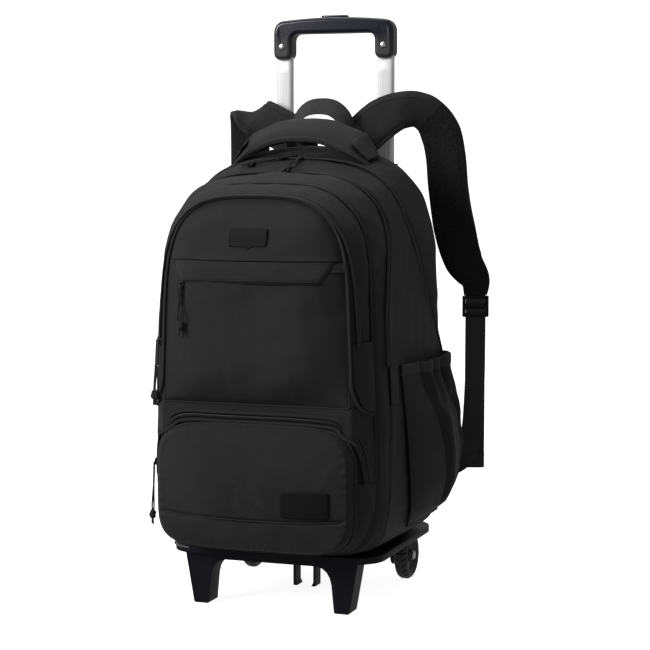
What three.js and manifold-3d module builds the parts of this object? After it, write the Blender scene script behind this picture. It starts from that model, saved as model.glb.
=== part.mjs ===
// Wheeled school backpack: a soft bag on a moulded base with two feet and two wheels,
// and a telescopic trolley handle behind it.
// Millimetres. X to the right seen from the front, Y to the back, Z up, floor at Z = 0.

import * as THREE from 'three';
import { mergeVertices } from 'three/addons/utils/BufferGeometryUtils.js';
import Module from 'manifold-3d';

const wasm = await Module();
wasm.setup();

// Clearances
const SEAM_GAP = 0.5;
const SEAT_GAP = 0.3;
// Room under a straight piece for the flats of the curved cloth it lies on
const TOP_SAG = 2;
const LABEL_SAG = 0.1;
const BADGE_SAG = 0.45;
const WELT_SAG = 1.2;
const RUNNING_GAP = 0.8;

// Bag
const BAG_HALF_WIDTH = 145;
const BAG_HEIGHT = 472;
const BAG_DEPTH = 261;
const CLOTH = 2;
const SHOULDER_HEIGHT = 246;
const FOOT_SQUARE = 8;
const FOOT_FLARE = 0.05;
const FRONT_PANEL_FOOT = 178;
const FRONT_PANEL_BULGE = 22;
const BACK_PAD_BULGE = 4.5;
const BACK_PAD_THICKNESS = 6;

// Lower front pocket
const POCKET_HALF_WIDTH = 120;
const POCKET_HALF_HEIGHT = 72;
const POCKET_CENTRE_HEIGHT = 82;
const POCKET_BULGE = 25;
const POCKET_RIM = 9;
const POCKET_SQUARE = 5;

// Side pockets
const SIDE_POCKET_HEIGHT = 196;
const SIDE_POCKET_FOOT = 24;
const SIDE_POCKET_BULGE = 31;
const SIDE_POCKET_GATHERS = 4;
const SIDE_POCKET_GATHER_DEPTH = 4;

// Base
const WHEEL_DIAMETER = 60;
const WHEEL_WIDTH = 18;
const WHEEL_X = 103;
const WHEEL_Y = 98;
const TYRE_WALL = 9;
const AXLE_DIAMETER = 6;
const AXLE_HEAD = 11;
const WHEEL_ARM_THICKNESS = 6;
const WHEEL_ARM_WIDTH = 26;
const WHEEL_ROOM = 3;
const PLATE_UNDERSIDE = 60;
const PLATE_THICKNESS = 8;
const PLATE_HALF_WIDTH = 131;
const PLATE_FRONT = -115;
const PLATE_BACK = 133;
const PLATE_CORNER = 36;
const FOOT_X = 88;
const FOOT_DEPTH = 28;
const FOOT_FRONT = -110;
const FOOT_BOTTOM_WIDTH = 19;
const FOOT_TOP_WIDTH = 50;
const APRON_DROP = 6;
const BRACKET_WIDTH = 29;
const BRACKET_DEPTH = 20;
const BRACKET_WALL = 3;
const BRACKET_Y = 15;
const BRACKET_FLOOR_ROOM = 2;

// Trolley
const TUBE_X = 67;
const TUBE_Y = 120;
const INNER_TUBE_WIDTH = 21;
const INNER_TUBE_DEPTH = 12;
const INNER_TUBE_WALL = 1;
const OUTER_TUBE_WALL = 1.2;
const OUTER_TUBE_TOP = 515;
const INNER_TUBE_FOOT = 210;
const TUBE_IN_GRIP = 18;
const SOCKET_HEIGHT = 30;
const SOCKET_WALL = 1.6;
const YOKE_HEIGHT = 22;
const YOKE_CAP = 4;
const YOKE_WALL = 2;
const GRIP_HALF_WIDTH = 79;
const GRIP_FOOT = 650;
const GRIP_HEIGHT = 52;
const GRIP_DEPTH = 25;
const GRIP_LEG = 24;
const GRIP_BAR = 20;
const GRIP_CORNER = 17;
const GRIP_CROWN = 3;
const BUTTON_LENGTH = 35;
const BUTTON_WIDTH = 14;
const BUTTON_HEIGHT = 7;
const BUTTON_PROUD = 2.5;
const BUTTON_TRAVEL = 3;
const RIVET_DIAMETER = 8;
const RIVET_DOME = 1.6;
const RIVET_HEIGHT = 16;

// Carrying parts
const STRAP_WIDTH = 52;
const STRAP_THICKNESS = 13;
const WEBBING_WIDTH = 25;
const WEBBING_THICKNESS = 1.8;
const HANDLE_HALF_SPAN = 74;
const HANDLE_WIDTH = 38;
const HANDLE_THICKNESS = 14;
const HANDLE_RISE = 17;
const HANDLE_Y = 10;
const LOOP_HALF_SPAN = 37;
const LOOP_RISE = 52;
const LOOP_Y = 64;
const LOCK_WIDTH = 33;
const LOCK_HEIGHT = 27;
const LOCK_THICKNESS = 5;
const LOCK_BAR = 4;

// Small parts on the front
const LABEL_WIDTH = 47;
const LABEL_HEIGHT = 21;
const LABEL_THICKNESS = 1.2;
const LABEL_ROOM = 15.5;
const BADGE_WIDTH = 56;
const BADGE_HEIGHT = 30;
const BADGE_THICKNESS = 1;
const BADGE_X = 68;
const BADGE_DROP = 12;
const WELT_HEIGHT = 23;
const WELT_THICKNESS = 1.6;
const WELT_UP = 0.7267;
const CORD_DIAMETER = 2;
const CORD_TAIL_SPREAD = 0.3;
const KNOT_RADIUS = 4;
const KNOT_HALF_LENGTH = 6;
const KNOT_ROOM = 3;
const CORD_TAIL_LENGTH = 10;
const CORD_TAIL_DROP = 7;
const CORD_TAIL_OUT = 2.4;
const LINK_WIDTH = 4.4;
const LINK_THICKNESS = 1.6;
const SLIDER_WIDTH = 7;
const SLIDER_LENGTH = 9;
const SLIDER_THICKNESS = 4;
const LINK_SINK = 0.4;

const BAG_BASE = PLATE_UNDERSIDE + PLATE_THICKNESS + SEAM_GAP;
const BAG_BACK = TUBE_Y - INNER_TUBE_DEPTH / 2 - RUNNING_GAP - OUTER_TUBE_WALL - SOCKET_WALL
  - SEAT_GAP - BACK_PAD_BULGE - SEAM_GAP;

const COLOURS = {
  cloth: [0x222224, 0.62, 0],
  webbing: [0x2a2a2c, 0.7, 0],
  base: [0x26222a, 0.42, 0],
  grip: [0x1c1d28, 0.3, 0],
  silver: [0xd9dadc, 0.28, 0.9],
  tyre: [0x141416, 0.35, 0],
  hub: [0x2b2b2e, 0.3, 0.2],
  metal: [0x3a3a3d, 0.3, 0.8],
  patch: [0x1b1b1d, 0.5, 0],
};

// Cross sections of the bag from front to back. ahead: how far in front of the back face, low down
// and at the top, in shares of the depth. half: share of the half width. top, crown and foot: shares
// of the height. square: how boxy the shoulders are.
const RINGS = {
  front: { aheadLow: 1, aheadTop: 0.993, half: 0.767, top: 0.877, crown: 0.013, foot: 0.024, square: 3.8 },
  zip: { aheadLow: 0.886, aheadTop: 0.862, half: 0.885, top: 0.911, crown: 0.017, foot: 0.009, square: 4 },
  fold: { aheadLow: 0.797, aheadTop: 0.667, half: 0.96, top: 0.936, crown: 0.025, foot: 0, square: 4.2 },
  main: { aheadLow: 0.07, aheadTop: 0.467, half: 1, top: 0.97, crown: 0.034, foot: 0, square: 4.2 },
  back: { aheadLow: 0, aheadTop: 0.012, half: 0.93, top: 0.965, crown: 0.03, foot: 0.004, square: 3.7 },
};
// Heights, in shares of the bag's height, between which a ring moves from its low to its top place.
const RING_RISE = { from: 0.555, to: 0.87 };
const MAIN_ZIP_RISE = { from: 0.47, to: 0.82 };
const RING_STEPS = 36;

function smooth(from, to, value) {
  const share = Math.min(1, Math.max(0, (value - from) / (to - from)));
  return share * share * (3 - 2 * share);
}

function signedPower(value, power) {
  return Math.sign(value) * Math.abs(value) ** power;
}

// Point of a ring at an angle: 0 at the right side, a quarter turn at the top.
function ringPoint(ring, angle, inset = 0) {
  const upper = Math.sin(angle) >= 0;
  const power = 2 / (upper ? ring.square : FOOT_SQUARE);
  const across = signedPower(Math.cos(angle), power);
  const rise = Math.abs(Math.sin(angle)) ** power;
  const middle = BAG_BASE + SHOULDER_HEIGHT;
  const top = BAG_BASE + ring.top * BAG_HEIGHT - inset;
  const foot = BAG_BASE + ring.foot * BAG_HEIGHT + inset;
  let z = middle - (middle - foot) * rise;
  if (upper) z = middle + (top - middle) * rise - ring.crown * BAG_HEIGHT * across * across * rise;
  const flare = 1 + FOOT_FLARE * (1 - smooth(0.25, 0.7, (z - BAG_BASE) / BAG_HEIGHT));
  const x = (ring.half * BAG_HALF_WIDTH - inset) * across * flare;
  const share = (z - BAG_BASE) / BAG_HEIGHT;
  const rises = ring === RINGS.main ? MAIN_ZIP_RISE : RING_RISE;
  const lift = ring === RINGS.main
    ? Math.min(1, Math.max(0, (share - rises.from) / (rises.to - rises.from)))
    : smooth(rises.from, rises.to, share);
  const ahead = ring.aheadLow + (ring.aheadTop - ring.aheadLow) * lift;
  return new THREE.Vector3(x, BAG_BACK - ahead * BAG_DEPTH, z);
}

// Direction in the ring's plane that points away from the bag's middle.
function ringOutward(ring, angle) {
  const step = 0.01;
  const along = ringPoint(ring, angle + step).sub(ringPoint(ring, angle - step));
  return new THREE.Vector3(along.z, 0, -along.x).normalize();
}

// A closed wall from two grids of points. Rows close on themselves when ringed is true.
function wallSolid(outer, inner, ringed) {
  const rows = outer.length;
  const columns = outer[0].length;
  const vertices = [];
  for (const grid of [outer, inner]) {
    for (const row of grid) for (const point of row) vertices.push(point.x, point.y, point.z);
  }
  const faces = [];
  const at = (side, row, column) => (side * rows + row) * columns + (column % columns);
  const quad = (a, b, c, d) => faces.push(a, b, c, a, c, d);
  const spans = ringed ? columns : columns - 1;
  for (let row = 0; row < rows - 1; row += 1) {
    for (let column = 0; column < spans; column += 1) {
      quad(at(0, row, column), at(0, row, column + 1), at(0, row + 1, column + 1), at(0, row + 1, column));
      quad(at(1, row, column), at(1, row + 1, column), at(1, row + 1, column + 1), at(1, row, column + 1));
    }
  }
  for (let column = 0; column < spans; column += 1) {
    quad(at(0, 0, column), at(1, 0, column), at(1, 0, column + 1), at(0, 0, column + 1));
    const last = rows - 1;
    quad(at(0, last, column + 1), at(1, last, column + 1), at(1, last, column), at(0, last, column));
  }
  if (!ringed) {
    const end = columns - 1;
    for (let row = 0; row < rows - 1; row += 1) {
      quad(at(0, row + 1, 0), at(1, row + 1, 0), at(1, row, 0), at(0, row, 0));
      quad(at(0, row, end), at(1, row, end), at(1, row + 1, end), at(0, row + 1, end));
    }
  }
  return closedGeometry(vertices, faces);
}

// Geometry of a closed body whose faces point out.
function closedGeometry(vertices, faces) {
  let geometry = new THREE.BufferGeometry();
  geometry.setAttribute('position', new THREE.Float32BufferAttribute(vertices, 3));
  geometry.setIndex(faces);
  geometry = withoutSlivers(mergeVertices(geometry, 1e-4));
  if (signedVolume(geometry) < 0) {
    const index = geometry.index.array;
    for (let i = 0; i < index.length; i += 3) [index[i], index[i + 1]] = [index[i + 1], index[i]];
  }
  return geometry;
}

function withoutSlivers(geometry) {
  const kept = [];
  const index = geometry.index.array;
  for (let i = 0; i < index.length; i += 3) {
    const [a, b, c] = [index[i], index[i + 1], index[i + 2]];
    if (a !== b && b !== c && a !== c) kept.push(a, b, c);
  }
  geometry.setIndex(kept);
  return geometry;
}

function signedVolume(geometry) {
  const index = geometry.index.array;
  const place = geometry.getAttribute('position');
  const corner = (i) => new THREE.Vector3().fromBufferAttribute(place, i);
  let volume = 0;
  for (let i = 0; i < index.length; i += 3) {
    volume += corner(index[i]).dot(corner(index[i + 1]).cross(corner(index[i + 2]))) / 6;
  }
  return volume;
}

function solidOf(geometry) {
  const bare = geometry.clone();
  bare.deleteAttribute('normal');
  bare.deleteAttribute('uv');
  const merged = withoutSlivers(mergeVertices(bare, 1e-4));
  return new wasm.Manifold(new wasm.Mesh({
    numProp: 3,
    vertProperties: new Float32Array(merged.getAttribute('position').array),
    triVerts: new Uint32Array(merged.index.array),
  }));
}

function geometryOf(solid) {
  const mesh = solid.getMesh();
  const geometry = new THREE.BufferGeometry();
  geometry.setAttribute('position', new THREE.BufferAttribute(new Float32Array(mesh.vertProperties), 3));
  geometry.setIndex(new THREE.BufferAttribute(new Uint32Array(mesh.triVerts), 1));
  return geometry;
}

function boxSolid(x0, x1, y0, y1, z0, z1) {
  const geometry = new THREE.BoxGeometry(x1 - x0, y1 - y0, z1 - z0);
  geometry.translate((x0 + x1) / 2, (y0 + y1) / 2, (z0 + z1) / 2);
  return solidOf(geometry);
}

function roundedRectangle(halfWidth, halfHeight, radius) {
  const shape = new THREE.Shape();
  shape.moveTo(-halfWidth + radius, -halfHeight);
  shape.lineTo(halfWidth - radius, -halfHeight);
  shape.absarc(halfWidth - radius, -halfHeight + radius, radius, -Math.PI / 2, 0);
  shape.lineTo(halfWidth, halfHeight - radius);
  shape.absarc(halfWidth - radius, halfHeight - radius, radius, 0, Math.PI / 2);
  shape.lineTo(-halfWidth + radius, halfHeight);
  shape.absarc(-halfWidth + radius, halfHeight - radius, radius, Math.PI / 2, Math.PI);
  shape.lineTo(-halfWidth, -halfHeight + radius);
  shape.absarc(-halfWidth + radius, -halfHeight + radius, radius, Math.PI, Math.PI * 1.5);
  return shape;
}

function extruded(shape, depth, curveSegments = 1) {
  return new THREE.ExtrudeGeometry(shape, { depth, bevelEnabled: false, curveSegments });
}

// An extrusion drawn in the front view, from one Y to another.
function frontExtrusion(shape, from, to, curveSegments = 3) {
  const geometry = extruded(shape, to - from, curveSegments);
  geometry.rotateX(Math.PI / 2);
  geometry.translate(0, to, 0);
  return geometry;
}

const group = new THREE.Group();

function place(name, geometry, look, parent = group) {
  const [color, roughness, metalness] = COLOURS[look];
  const mesh = new THREE.Mesh(geometry, new THREE.MeshStandardMaterial({ color, roughness, metalness }));
  mesh.name = name;
  parent.add(mesh);
  return mesh;
}

// Bag: bands of cloth between the seams, each a ring or an arch.

// Point on the band between two rings. The cloth swells between its seams, but not under the bag.
function bandPoint(from, to, angle, share, swell, inset = 0) {
  const a = ringPoint(from, angle);
  const b = ringPoint(to, angle);
  const width = a.distanceTo(b);
  const point = a.clone().lerp(b, share);
  const out = ringOutward(from, angle).lerp(ringOutward(to, angle), share).normalize();
  const clear = smooth(0.02, 0.12, (point.z - BAG_BASE) / BAG_HEIGHT);
  return point.addScaledVector(out, swell * width * Math.sin(Math.PI * share) * clear - inset);
}

function band(from, to, swell, angles, ringed, steps) {
  const rows = [[], []];
  for (let step = 0; step <= steps; step += 1) {
    for (const side of [0, 1]) {
      rows[side].push(angles.map((angle) => {
        const width = ringPoint(from, angle).distanceTo(ringPoint(to, angle));
        const edge = SEAM_GAP / 2 / width;
        const share = edge + (1 - 2 * edge) * step / steps;
        return bandPoint(from, to, angle, share, swell, side * CLOTH);
      }));
    }
  }
  return wallSolid(rows[0], rows[1], ringed);
}

const fullTurn = Array.from({ length: RING_STEPS }, (_, i) => (i + 0.5) / RING_STEPS * Math.PI * 2);
// Angle at which the front ring is at the height of the seam under the front panel.
const seamAngle = archFoot(RINGS.front, BAG_BASE + FRONT_PANEL_FOOT);

function archFoot(ring, height) {
  let low = -Math.PI / 2;
  let high = 0;
  for (let turn = 0; turn < 40; turn += 1) {
    const middle = (low + high) / 2;
    if (ringPoint(ring, middle).z < height) low = middle;
    else high = middle;
  }
  return high;
}

function angleRange(from, to, steps) {
  return Array.from({ length: steps + 1 }, (_, i) => from + (to - from) * i / steps);
}

const SWELL = { front: 0.07, second: 0.06, main: 0.015, rear: 0.125 };
const seamRoom = SEAM_GAP / BAG_HEIGHT;

place('rear_gusset', band(RINGS.main, RINGS.back, SWELL.rear, fullTurn, true, 3), 'cloth');
place('main_gusset', band(RINGS.fold, RINGS.main, SWELL.main, fullTurn, true, 2), 'cloth');
place('second_gusset', band(RINGS.zip, RINGS.fold, SWELL.second, fullTurn, true, 2), 'cloth');
place('front_gusset', band(
  RINGS.front,
  RINGS.zip,
  SWELL.front,
  angleRange(seamAngle + seamRoom, Math.PI - seamAngle - seamRoom, 30),
  false,
  2,
), 'cloth');

// A panel: rings of points that shrink to a centre, with a wall behind it.
function panelSolid(outline, centre, levels, depthAt, wall) {
  const grid = (back) => levels.map((level) => outline.map((point) => {
    const spot = centre.clone().lerp(point, level);
    spot.y = depthAt(level, spot) + back;
    return spot;
  }));
  const outer = grid(0);
  const inner = grid(wall);
  const rows = [...outer, ...inner.reverse()];
  const count = outline.length;
  const vertices = [];
  for (const row of rows) for (const point of row) vertices.push(point.x, point.y, point.z);
  const faces = [];
  const at = (row, column) => row * count + (column % count);
  for (let row = 0; row < rows.length - 1; row += 1) {
    for (let column = 0; column < count; column += 1) {
      faces.push(at(row, column), at(row, column + 1), at(row + 1, column + 1));
      faces.push(at(row, column), at(row + 1, column + 1), at(row + 1, column));
    }
  }
  return closedGeometry(vertices, faces);
}

const PANEL_LEVELS = [0, 0.45, 0.75, 0.92, 1];

// Outline of the front panel: the front ring above the seam, closed along the seam.
function frontPanelOutline() {
  const inset = CLOTH + SEAM_GAP;
  const foot = archFoot(RINGS.front, BAG_BASE + FRONT_PANEL_FOOT);
  const arch = angleRange(foot, Math.PI - foot, 26).map((angle) => ringPoint(RINGS.front, angle, inset));
  const end = arch[arch.length - 1];
  const steps = 6;
  for (let step = 1; step < steps; step += 1) {
    arch.push(new THREE.Vector3(end.x * (1 - 2 * step / steps), end.y, end.z));
  }
  return arch;
}

const frontCentre = new THREE.Vector3(0, 0, BAG_BASE + 0.62 * BAG_HEIGHT);
const frontOutline = frontPanelOutline();
const frontPlane = BAG_BACK - BAG_DEPTH;

function frontPanelDepth(level) {
  return frontPlane - FRONT_PANEL_BULGE * (1 - level ** 4);
}

// Depth of a panel's outer face at a place in the front view, on the flats between its levels.
function faceDepth(outline, centre, levels, depthAt, x, z) {
  const angle = Math.atan2(z - centre.z, x - centre.x);
  let reach = 0;
  outline.forEach((point, i) => {
    const next = outline[(i + 1) % outline.length];
    const a = { x: point.x - centre.x, z: point.z - centre.z };
    const b = { x: next.x - centre.x, z: next.z - centre.z };
    const across = (b.x - a.x) * Math.sin(angle) - (b.z - a.z) * Math.cos(angle);
    const along = (a.z * Math.cos(angle) - a.x * Math.sin(angle)) / across;
    if (along < -1e-9 || along > 1 + 1e-9) return;
    const hit = (a.x + (b.x - a.x) * along) * Math.cos(angle) + (a.z + (b.z - a.z) * along) * Math.sin(angle);
    reach = Math.max(reach, hit);
  });
  const level = Math.min(1, Math.hypot(x - centre.x, z - centre.z) / reach);
  const upper = Math.max(1, levels.findIndex((value) => value >= level));
  const share = (level - levels[upper - 1]) / (levels[upper] - levels[upper - 1]);
  return depthAt(levels[upper - 1]) * (1 - share) + depthAt(levels[upper]) * share;
}

place('front_panel', panelSolid(frontOutline, frontCentre, PANEL_LEVELS, frontPanelDepth, CLOTH), 'cloth');

// Lower front: the flat behind the lower pocket, wrapped round the corner to the side seam.
function lowerFront() {
  const centre = new THREE.Vector3(0, frontPlane, BAG_BASE + FRONT_PANEL_FOOT - SEAM_GAP);
  const foot = archFoot(RINGS.front, centre.z);
  const angles = angleRange(-Math.PI - foot, foot, 22);
  const shares = [0, 0.5, 0.94];
  const rows = [[], []];
  const inward = new THREE.Vector3(0, 1, 0);
  for (const share of shares) {
    for (const side of [0, 1]) {
      rows[side].push(angles.map((angle) => {
        const point = centre.clone().lerp(ringPoint(RINGS.front, angle), share);
        point.y = frontPlane;
        return point.addScaledVector(inward, side * CLOTH);
      }));
    }
  }
  for (const share of [0, 0.5, 1]) {
    for (const side of [0, 1]) {
      rows[side].push(angles.map((angle) => {
        const room = SEAM_GAP / 2 / ringPoint(RINGS.front, angle).distanceTo(ringPoint(RINGS.zip, angle));
        const point = bandPoint(RINGS.front, RINGS.zip, angle, share * (1 - room), SWELL.front);
        point.z = Math.min(point.z, centre.z);
        const back = ringOutward(RINGS.zip, angle).multiplyScalar(-1).lerp(inward, (1 - share) / 2);
        const inner = point.addScaledVector(back.normalize(), side * CLOTH);
        inner.z = Math.min(inner.z, centre.z);
        return inner;
      }));
    }
  }
  return wallSolid(rows[0], rows[1], false);
}

place('lower_front_panel', lowerFront(), 'cloth');

// Lower pocket: a puffed panel with a steep rim.
const pocketCentre = new THREE.Vector3(0, 0, BAG_BASE + POCKET_CENTRE_HEIGHT);
const pocketOutline = Array.from({ length: 36 }, (_, i) => {
  const angle = (i + 0.5) / 36 * Math.PI * 2;
  return new THREE.Vector3(
    POCKET_HALF_WIDTH * signedPower(Math.cos(angle), 2 / POCKET_SQUARE),
    0,
    pocketCentre.z + POCKET_HALF_HEIGHT * signedPower(Math.sin(angle), 2 / POCKET_SQUARE),
  );
});

function pocketDepth(level) {
  const rim = POCKET_RIM * Math.min(1, (1 - level) / 0.03);
  const swell = (POCKET_BULGE - POCKET_RIM) * (1 - level ** 3);
  return frontPlane - CLOTH - SEAT_GAP - rim - swell;
}

const POCKET_LEVELS = [0, 0.45, 0.78, 0.97, 1];
place('lower_pocket', panelSolid(pocketOutline, pocketCentre, POCKET_LEVELS, pocketDepth, CLOTH), 'cloth');

// Padded back panel, set inside the rear gusset.
const backInset = CLOTH + SEAM_GAP;
const backCentre = new THREE.Vector3(0, 0, BAG_BASE + 0.5 * BAG_HEIGHT);
const backOutline = fullTurn.map((angle) => ringPoint(RINGS.back, angle, backInset));

function backPanel() {
  const levels = [0, 0.5, 0.85, 1];
  const depthAt = (level, spot) => {
    const lean = RINGS.back.aheadTop * BAG_DEPTH * smooth(RING_RISE.from, RING_RISE.to, (spot.z - BAG_BASE) / BAG_HEIGHT);
    return BAG_BACK - lean - BACK_PAD_THICKNESS + BACK_PAD_BULGE * (1 - level ** 4);
  };
  return panelSolid(backOutline, backCentre, levels, depthAt, BACK_PAD_THICKNESS);
}

place('back_panel', backPanel(), 'cloth');

// Side pockets: a gathered cloth wall that stands off the bag's side, open at the top.

// Where the bag's side lies, at a place from front to back and a height.
function sideOfBag(y, z) {
  const angle = archFoot(RINGS.main, z);
  const [fold, main, back] = [RINGS.fold, RINGS.main, RINGS.back].map((ring) => ringPoint(ring, angle));
  const [from, to, swell] = y < main.y ? [fold, main, SWELL.main] : [main, back, SWELL.rear];
  const share = (y - from.y) / (to.y - from.y);
  return from.x + (to.x - from.x) * share + swell * from.distanceTo(to) * Math.sin(Math.PI * share);
}

// Rows from the foot of a side pocket to its hem. rise: share of the pocket's height. stand: how far
// the wall stands off the bag, in shares of the bulge. ahead: the front edge, in shares of the depth.
const SIDE_POCKET_ROWS = [
  { rise: 0, stand: 0, ahead: 0.54 },
  { rise: 0.1, stand: 0.55, ahead: 0.555 },
  { rise: 0.25, stand: 0.86, ahead: 0.585 },
  { rise: 0.45, stand: 1, ahead: 0.62 },
  { rise: 0.65, stand: 0.9, ahead: 0.645 },
  { rise: 0.82, stand: 0.66, ahead: 0.67 },
  { rise: 0.91, stand: 0.5, ahead: 0.68 },
  { rise: 1, stand: 0.46, ahead: 0.69 },
];
const SIDE_POCKET_COLUMNS = 14;
const SIDE_POCKET_REAR_ROOM = 7;

function sidePocket(side) {
  const grids = [0, 1].map((back) => SIDE_POCKET_ROWS.map((row) => {
    const z = BAG_BASE + SIDE_POCKET_FOOT + row.rise * SIDE_POCKET_HEIGHT;
    const front = BAG_BACK - row.ahead * BAG_DEPTH;
    const rear = BAG_BACK - SIDE_POCKET_REAR_ROOM;
    return angleRange(0, 1, SIDE_POCKET_COLUMNS).map((share) => {
      const y = front + (rear - front) * share;
      const fullness = Math.sin(Math.PI * share ** 1.3) ** 0.6 || 0;
      const gathered = smooth(0.7, 1, row.rise) * smooth(0.25, 0.45, share) * fullness;
      const gather = gathered * SIDE_POCKET_GATHER_DEPTH * Math.cos(2 * Math.PI * SIDE_POCKET_GATHERS * share);
      const stand = CLOTH + SEAT_GAP + SEAM_GAP + row.stand * SIDE_POCKET_BULGE * fullness + gather - back * CLOTH;
      return new THREE.Vector3(side * (sideOfBag(y, z) + stand), y + 0.1 * share * stand, z);
    });
  }));
  return wallSolid(grids[0], grids[1], false);
}

const SIDES = { left: -1, right: 1 };
for (const [side, sign] of Object.entries(SIDES)) place(`side_pocket_${side}`, sidePocket(sign), 'cloth');

// Base: a plate with an apron and two front feet, sockets for the tubes and an arm for each wheel.

function slab(shape, from, to) {
  const geometry = extruded(shape, to - from);
  geometry.translate(0, 0, from);
  return geometry;
}

const plateTop = PLATE_UNDERSIDE + PLATE_THICKNESS;
const innerTube = { halfWidth: INNER_TUBE_WIDTH / 2, halfDepth: INNER_TUBE_DEPTH / 2 };
const outerGrowth = RUNNING_GAP + OUTER_TUBE_WALL;
const outerTube = { halfWidth: innerTube.halfWidth + outerGrowth, halfDepth: innerTube.halfDepth + outerGrowth };

// A solid rod with the section of a tube, grown by some room all round.
function tubeRod(tube, room, from, to) {
  const halfWidth = tube.halfWidth + room;
  const halfDepth = tube.halfDepth + room;
  return slab(roundedRectangle(halfWidth, halfDepth, halfDepth * 0.7), from, to);
}

function feetShape() {
  const top = PLATE_UNDERSIDE + 1;
  const apron = PLATE_UNDERSIDE - APRON_DROP;
  const outerTop = FOOT_X + FOOT_TOP_WIDTH * 0.4;
  const innerTop = FOOT_X - FOOT_TOP_WIDTH * 0.62;
  const half = FOOT_BOTTOM_WIDTH / 2;
  const toe = 1.5;
  const shape = new THREE.Shape();
  shape.moveTo(-outerTop, top);
  shape.lineTo(-FOOT_X - half, toe);
  shape.lineTo(-FOOT_X - half + toe, 0);
  shape.lineTo(-FOOT_X + half - toe, 0);
  shape.lineTo(-FOOT_X + half, toe);
  shape.lineTo(-FOOT_X + half + 3, apron * 0.62);
  shape.quadraticCurveTo(-FOOT_X + half + 6, apron - 2, -innerTop, apron);
  shape.lineTo(innerTop, apron);
  shape.quadraticCurveTo(FOOT_X - half - 6, apron - 2, FOOT_X - half - 3, apron * 0.62);
  shape.lineTo(FOOT_X - half, toe);
  shape.lineTo(FOOT_X - half + toe, 0);
  shape.lineTo(FOOT_X + half - toe, 0);
  shape.lineTo(FOOT_X + half, toe);
  shape.lineTo(outerTop, top);
  return shape;
}

function basePlate() {
  const depth = PLATE_BACK - PLATE_FRONT;
  const outline = roundedRectangle(PLATE_HALF_WIDTH, depth / 2, PLATE_CORNER);
  const plate = extruded(outline, PLATE_THICKNESS, 3);
  plate.translate(0, (PLATE_BACK + PLATE_FRONT) / 2, PLATE_UNDERSIDE);
  let solid = solidOf(plate).add(solidOf(frontExtrusion(feetShape(), FOOT_FRONT, FOOT_FRONT + FOOT_DEPTH, 4)));
  for (const sign of Object.values(SIDES)) {
    const wheelIn = WHEEL_X - WHEEL_WIDTH / 2 - WHEEL_ROOM;
    const wheelOut = WHEEL_X + WHEEL_WIDTH / 2 + WHEEL_ROOM;
    const [x0, x1] = [sign * wheelIn, sign * wheelOut].sort((a, b) => a - b);
    const wellFront = WHEEL_Y - WHEEL_DIAMETER / 2 - WHEEL_ROOM;
    solid = solid.subtract(boxSolid(x0, x1, wellFront, PLATE_BACK + 1, PLATE_UNDERSIDE - 1, plateTop + 1));
    const [a0, a1] = [sign * (wheelIn - WHEEL_ARM_THICKNESS), sign * wheelIn].sort((a, b) => a - b);
    const halfArm = WHEEL_ARM_WIDTH / 2;
    solid = solid.add(boxSolid(a0, a1, WHEEL_Y - halfArm, WHEEL_Y + halfArm, WHEEL_DIAMETER / 2, PLATE_UNDERSIDE + 1));
    const end = new THREE.CylinderGeometry(halfArm, halfArm, WHEEL_ARM_THICKNESS, 16);
    end.rotateZ(Math.PI / 2);
    end.translate((a0 + a1) / 2, WHEEL_Y, WHEEL_DIAMETER / 2);
    solid = solid.add(solidOf(end));
    const socket = tubeRod(outerTube, SEAT_GAP + SOCKET_WALL, plateTop - 1, plateTop + SOCKET_HEIGHT);
    socket.translate(sign * TUBE_X, TUBE_Y, 0);
    const hole = tubeRod(outerTube, SEAT_GAP, plateTop, plateTop + SOCKET_HEIGHT + 1);
    hole.translate(sign * TUBE_X, TUBE_Y, 0);
    solid = solid.add(solidOf(socket)).subtract(solidOf(hole));
  }
  return geometryOf(solid);
}

place('base_plate', basePlate(), 'base');

function centreBracket() {
  const half = BRACKET_WIDTH / 2;
  const inner = half - BRACKET_WALL;
  const toe = 2.5;
  const top = PLATE_UNDERSIDE - SEAT_GAP;
  const shape = new THREE.Shape();
  shape.moveTo(-half, top);
  shape.lineTo(-half, BRACKET_FLOOR_ROOM);
  shape.lineTo(-inner + toe, BRACKET_FLOOR_ROOM);
  shape.lineTo(-inner, BRACKET_FLOOR_ROOM + 2 * toe);
  shape.lineTo(-inner, top - 2 * BRACKET_WALL);
  shape.lineTo(inner, top - 2 * BRACKET_WALL);
  shape.lineTo(inner, BRACKET_FLOOR_ROOM + 2 * toe);
  shape.lineTo(inner - toe, BRACKET_FLOOR_ROOM);
  shape.lineTo(half, BRACKET_FLOOR_ROOM);
  shape.lineTo(half, top);
  return frontExtrusion(shape, BRACKET_Y - BRACKET_DEPTH / 2, BRACKET_Y + BRACKET_DEPTH / 2);
}

place('centre_bracket', centreBracket(), 'base');

// Wheels: a tyre on a dished hub that runs on a headed axle.

function turned(profile, steps) {
  const points = profile.map(([radius, height]) => new THREE.Vector2(radius, height));
  points.push(points[0].clone());
  const geometry = new THREE.LatheGeometry(points, steps);
  geometry.deleteAttribute('normal');
  geometry.deleteAttribute('uv');
  const corners = geometry.getAttribute('position');
  for (let i = 0; i < corners.count; i += 1) {
    if (Math.hypot(corners.getX(i), corners.getZ(i)) < 1e-4) corners.setXYZ(i, 0, corners.getY(i), 0);
  }
  const merged = mergeVertices(geometry, 1e-4);
  return closedGeometry(Array.from(merged.getAttribute('position').array), Array.from(merged.index.array));
}

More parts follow.
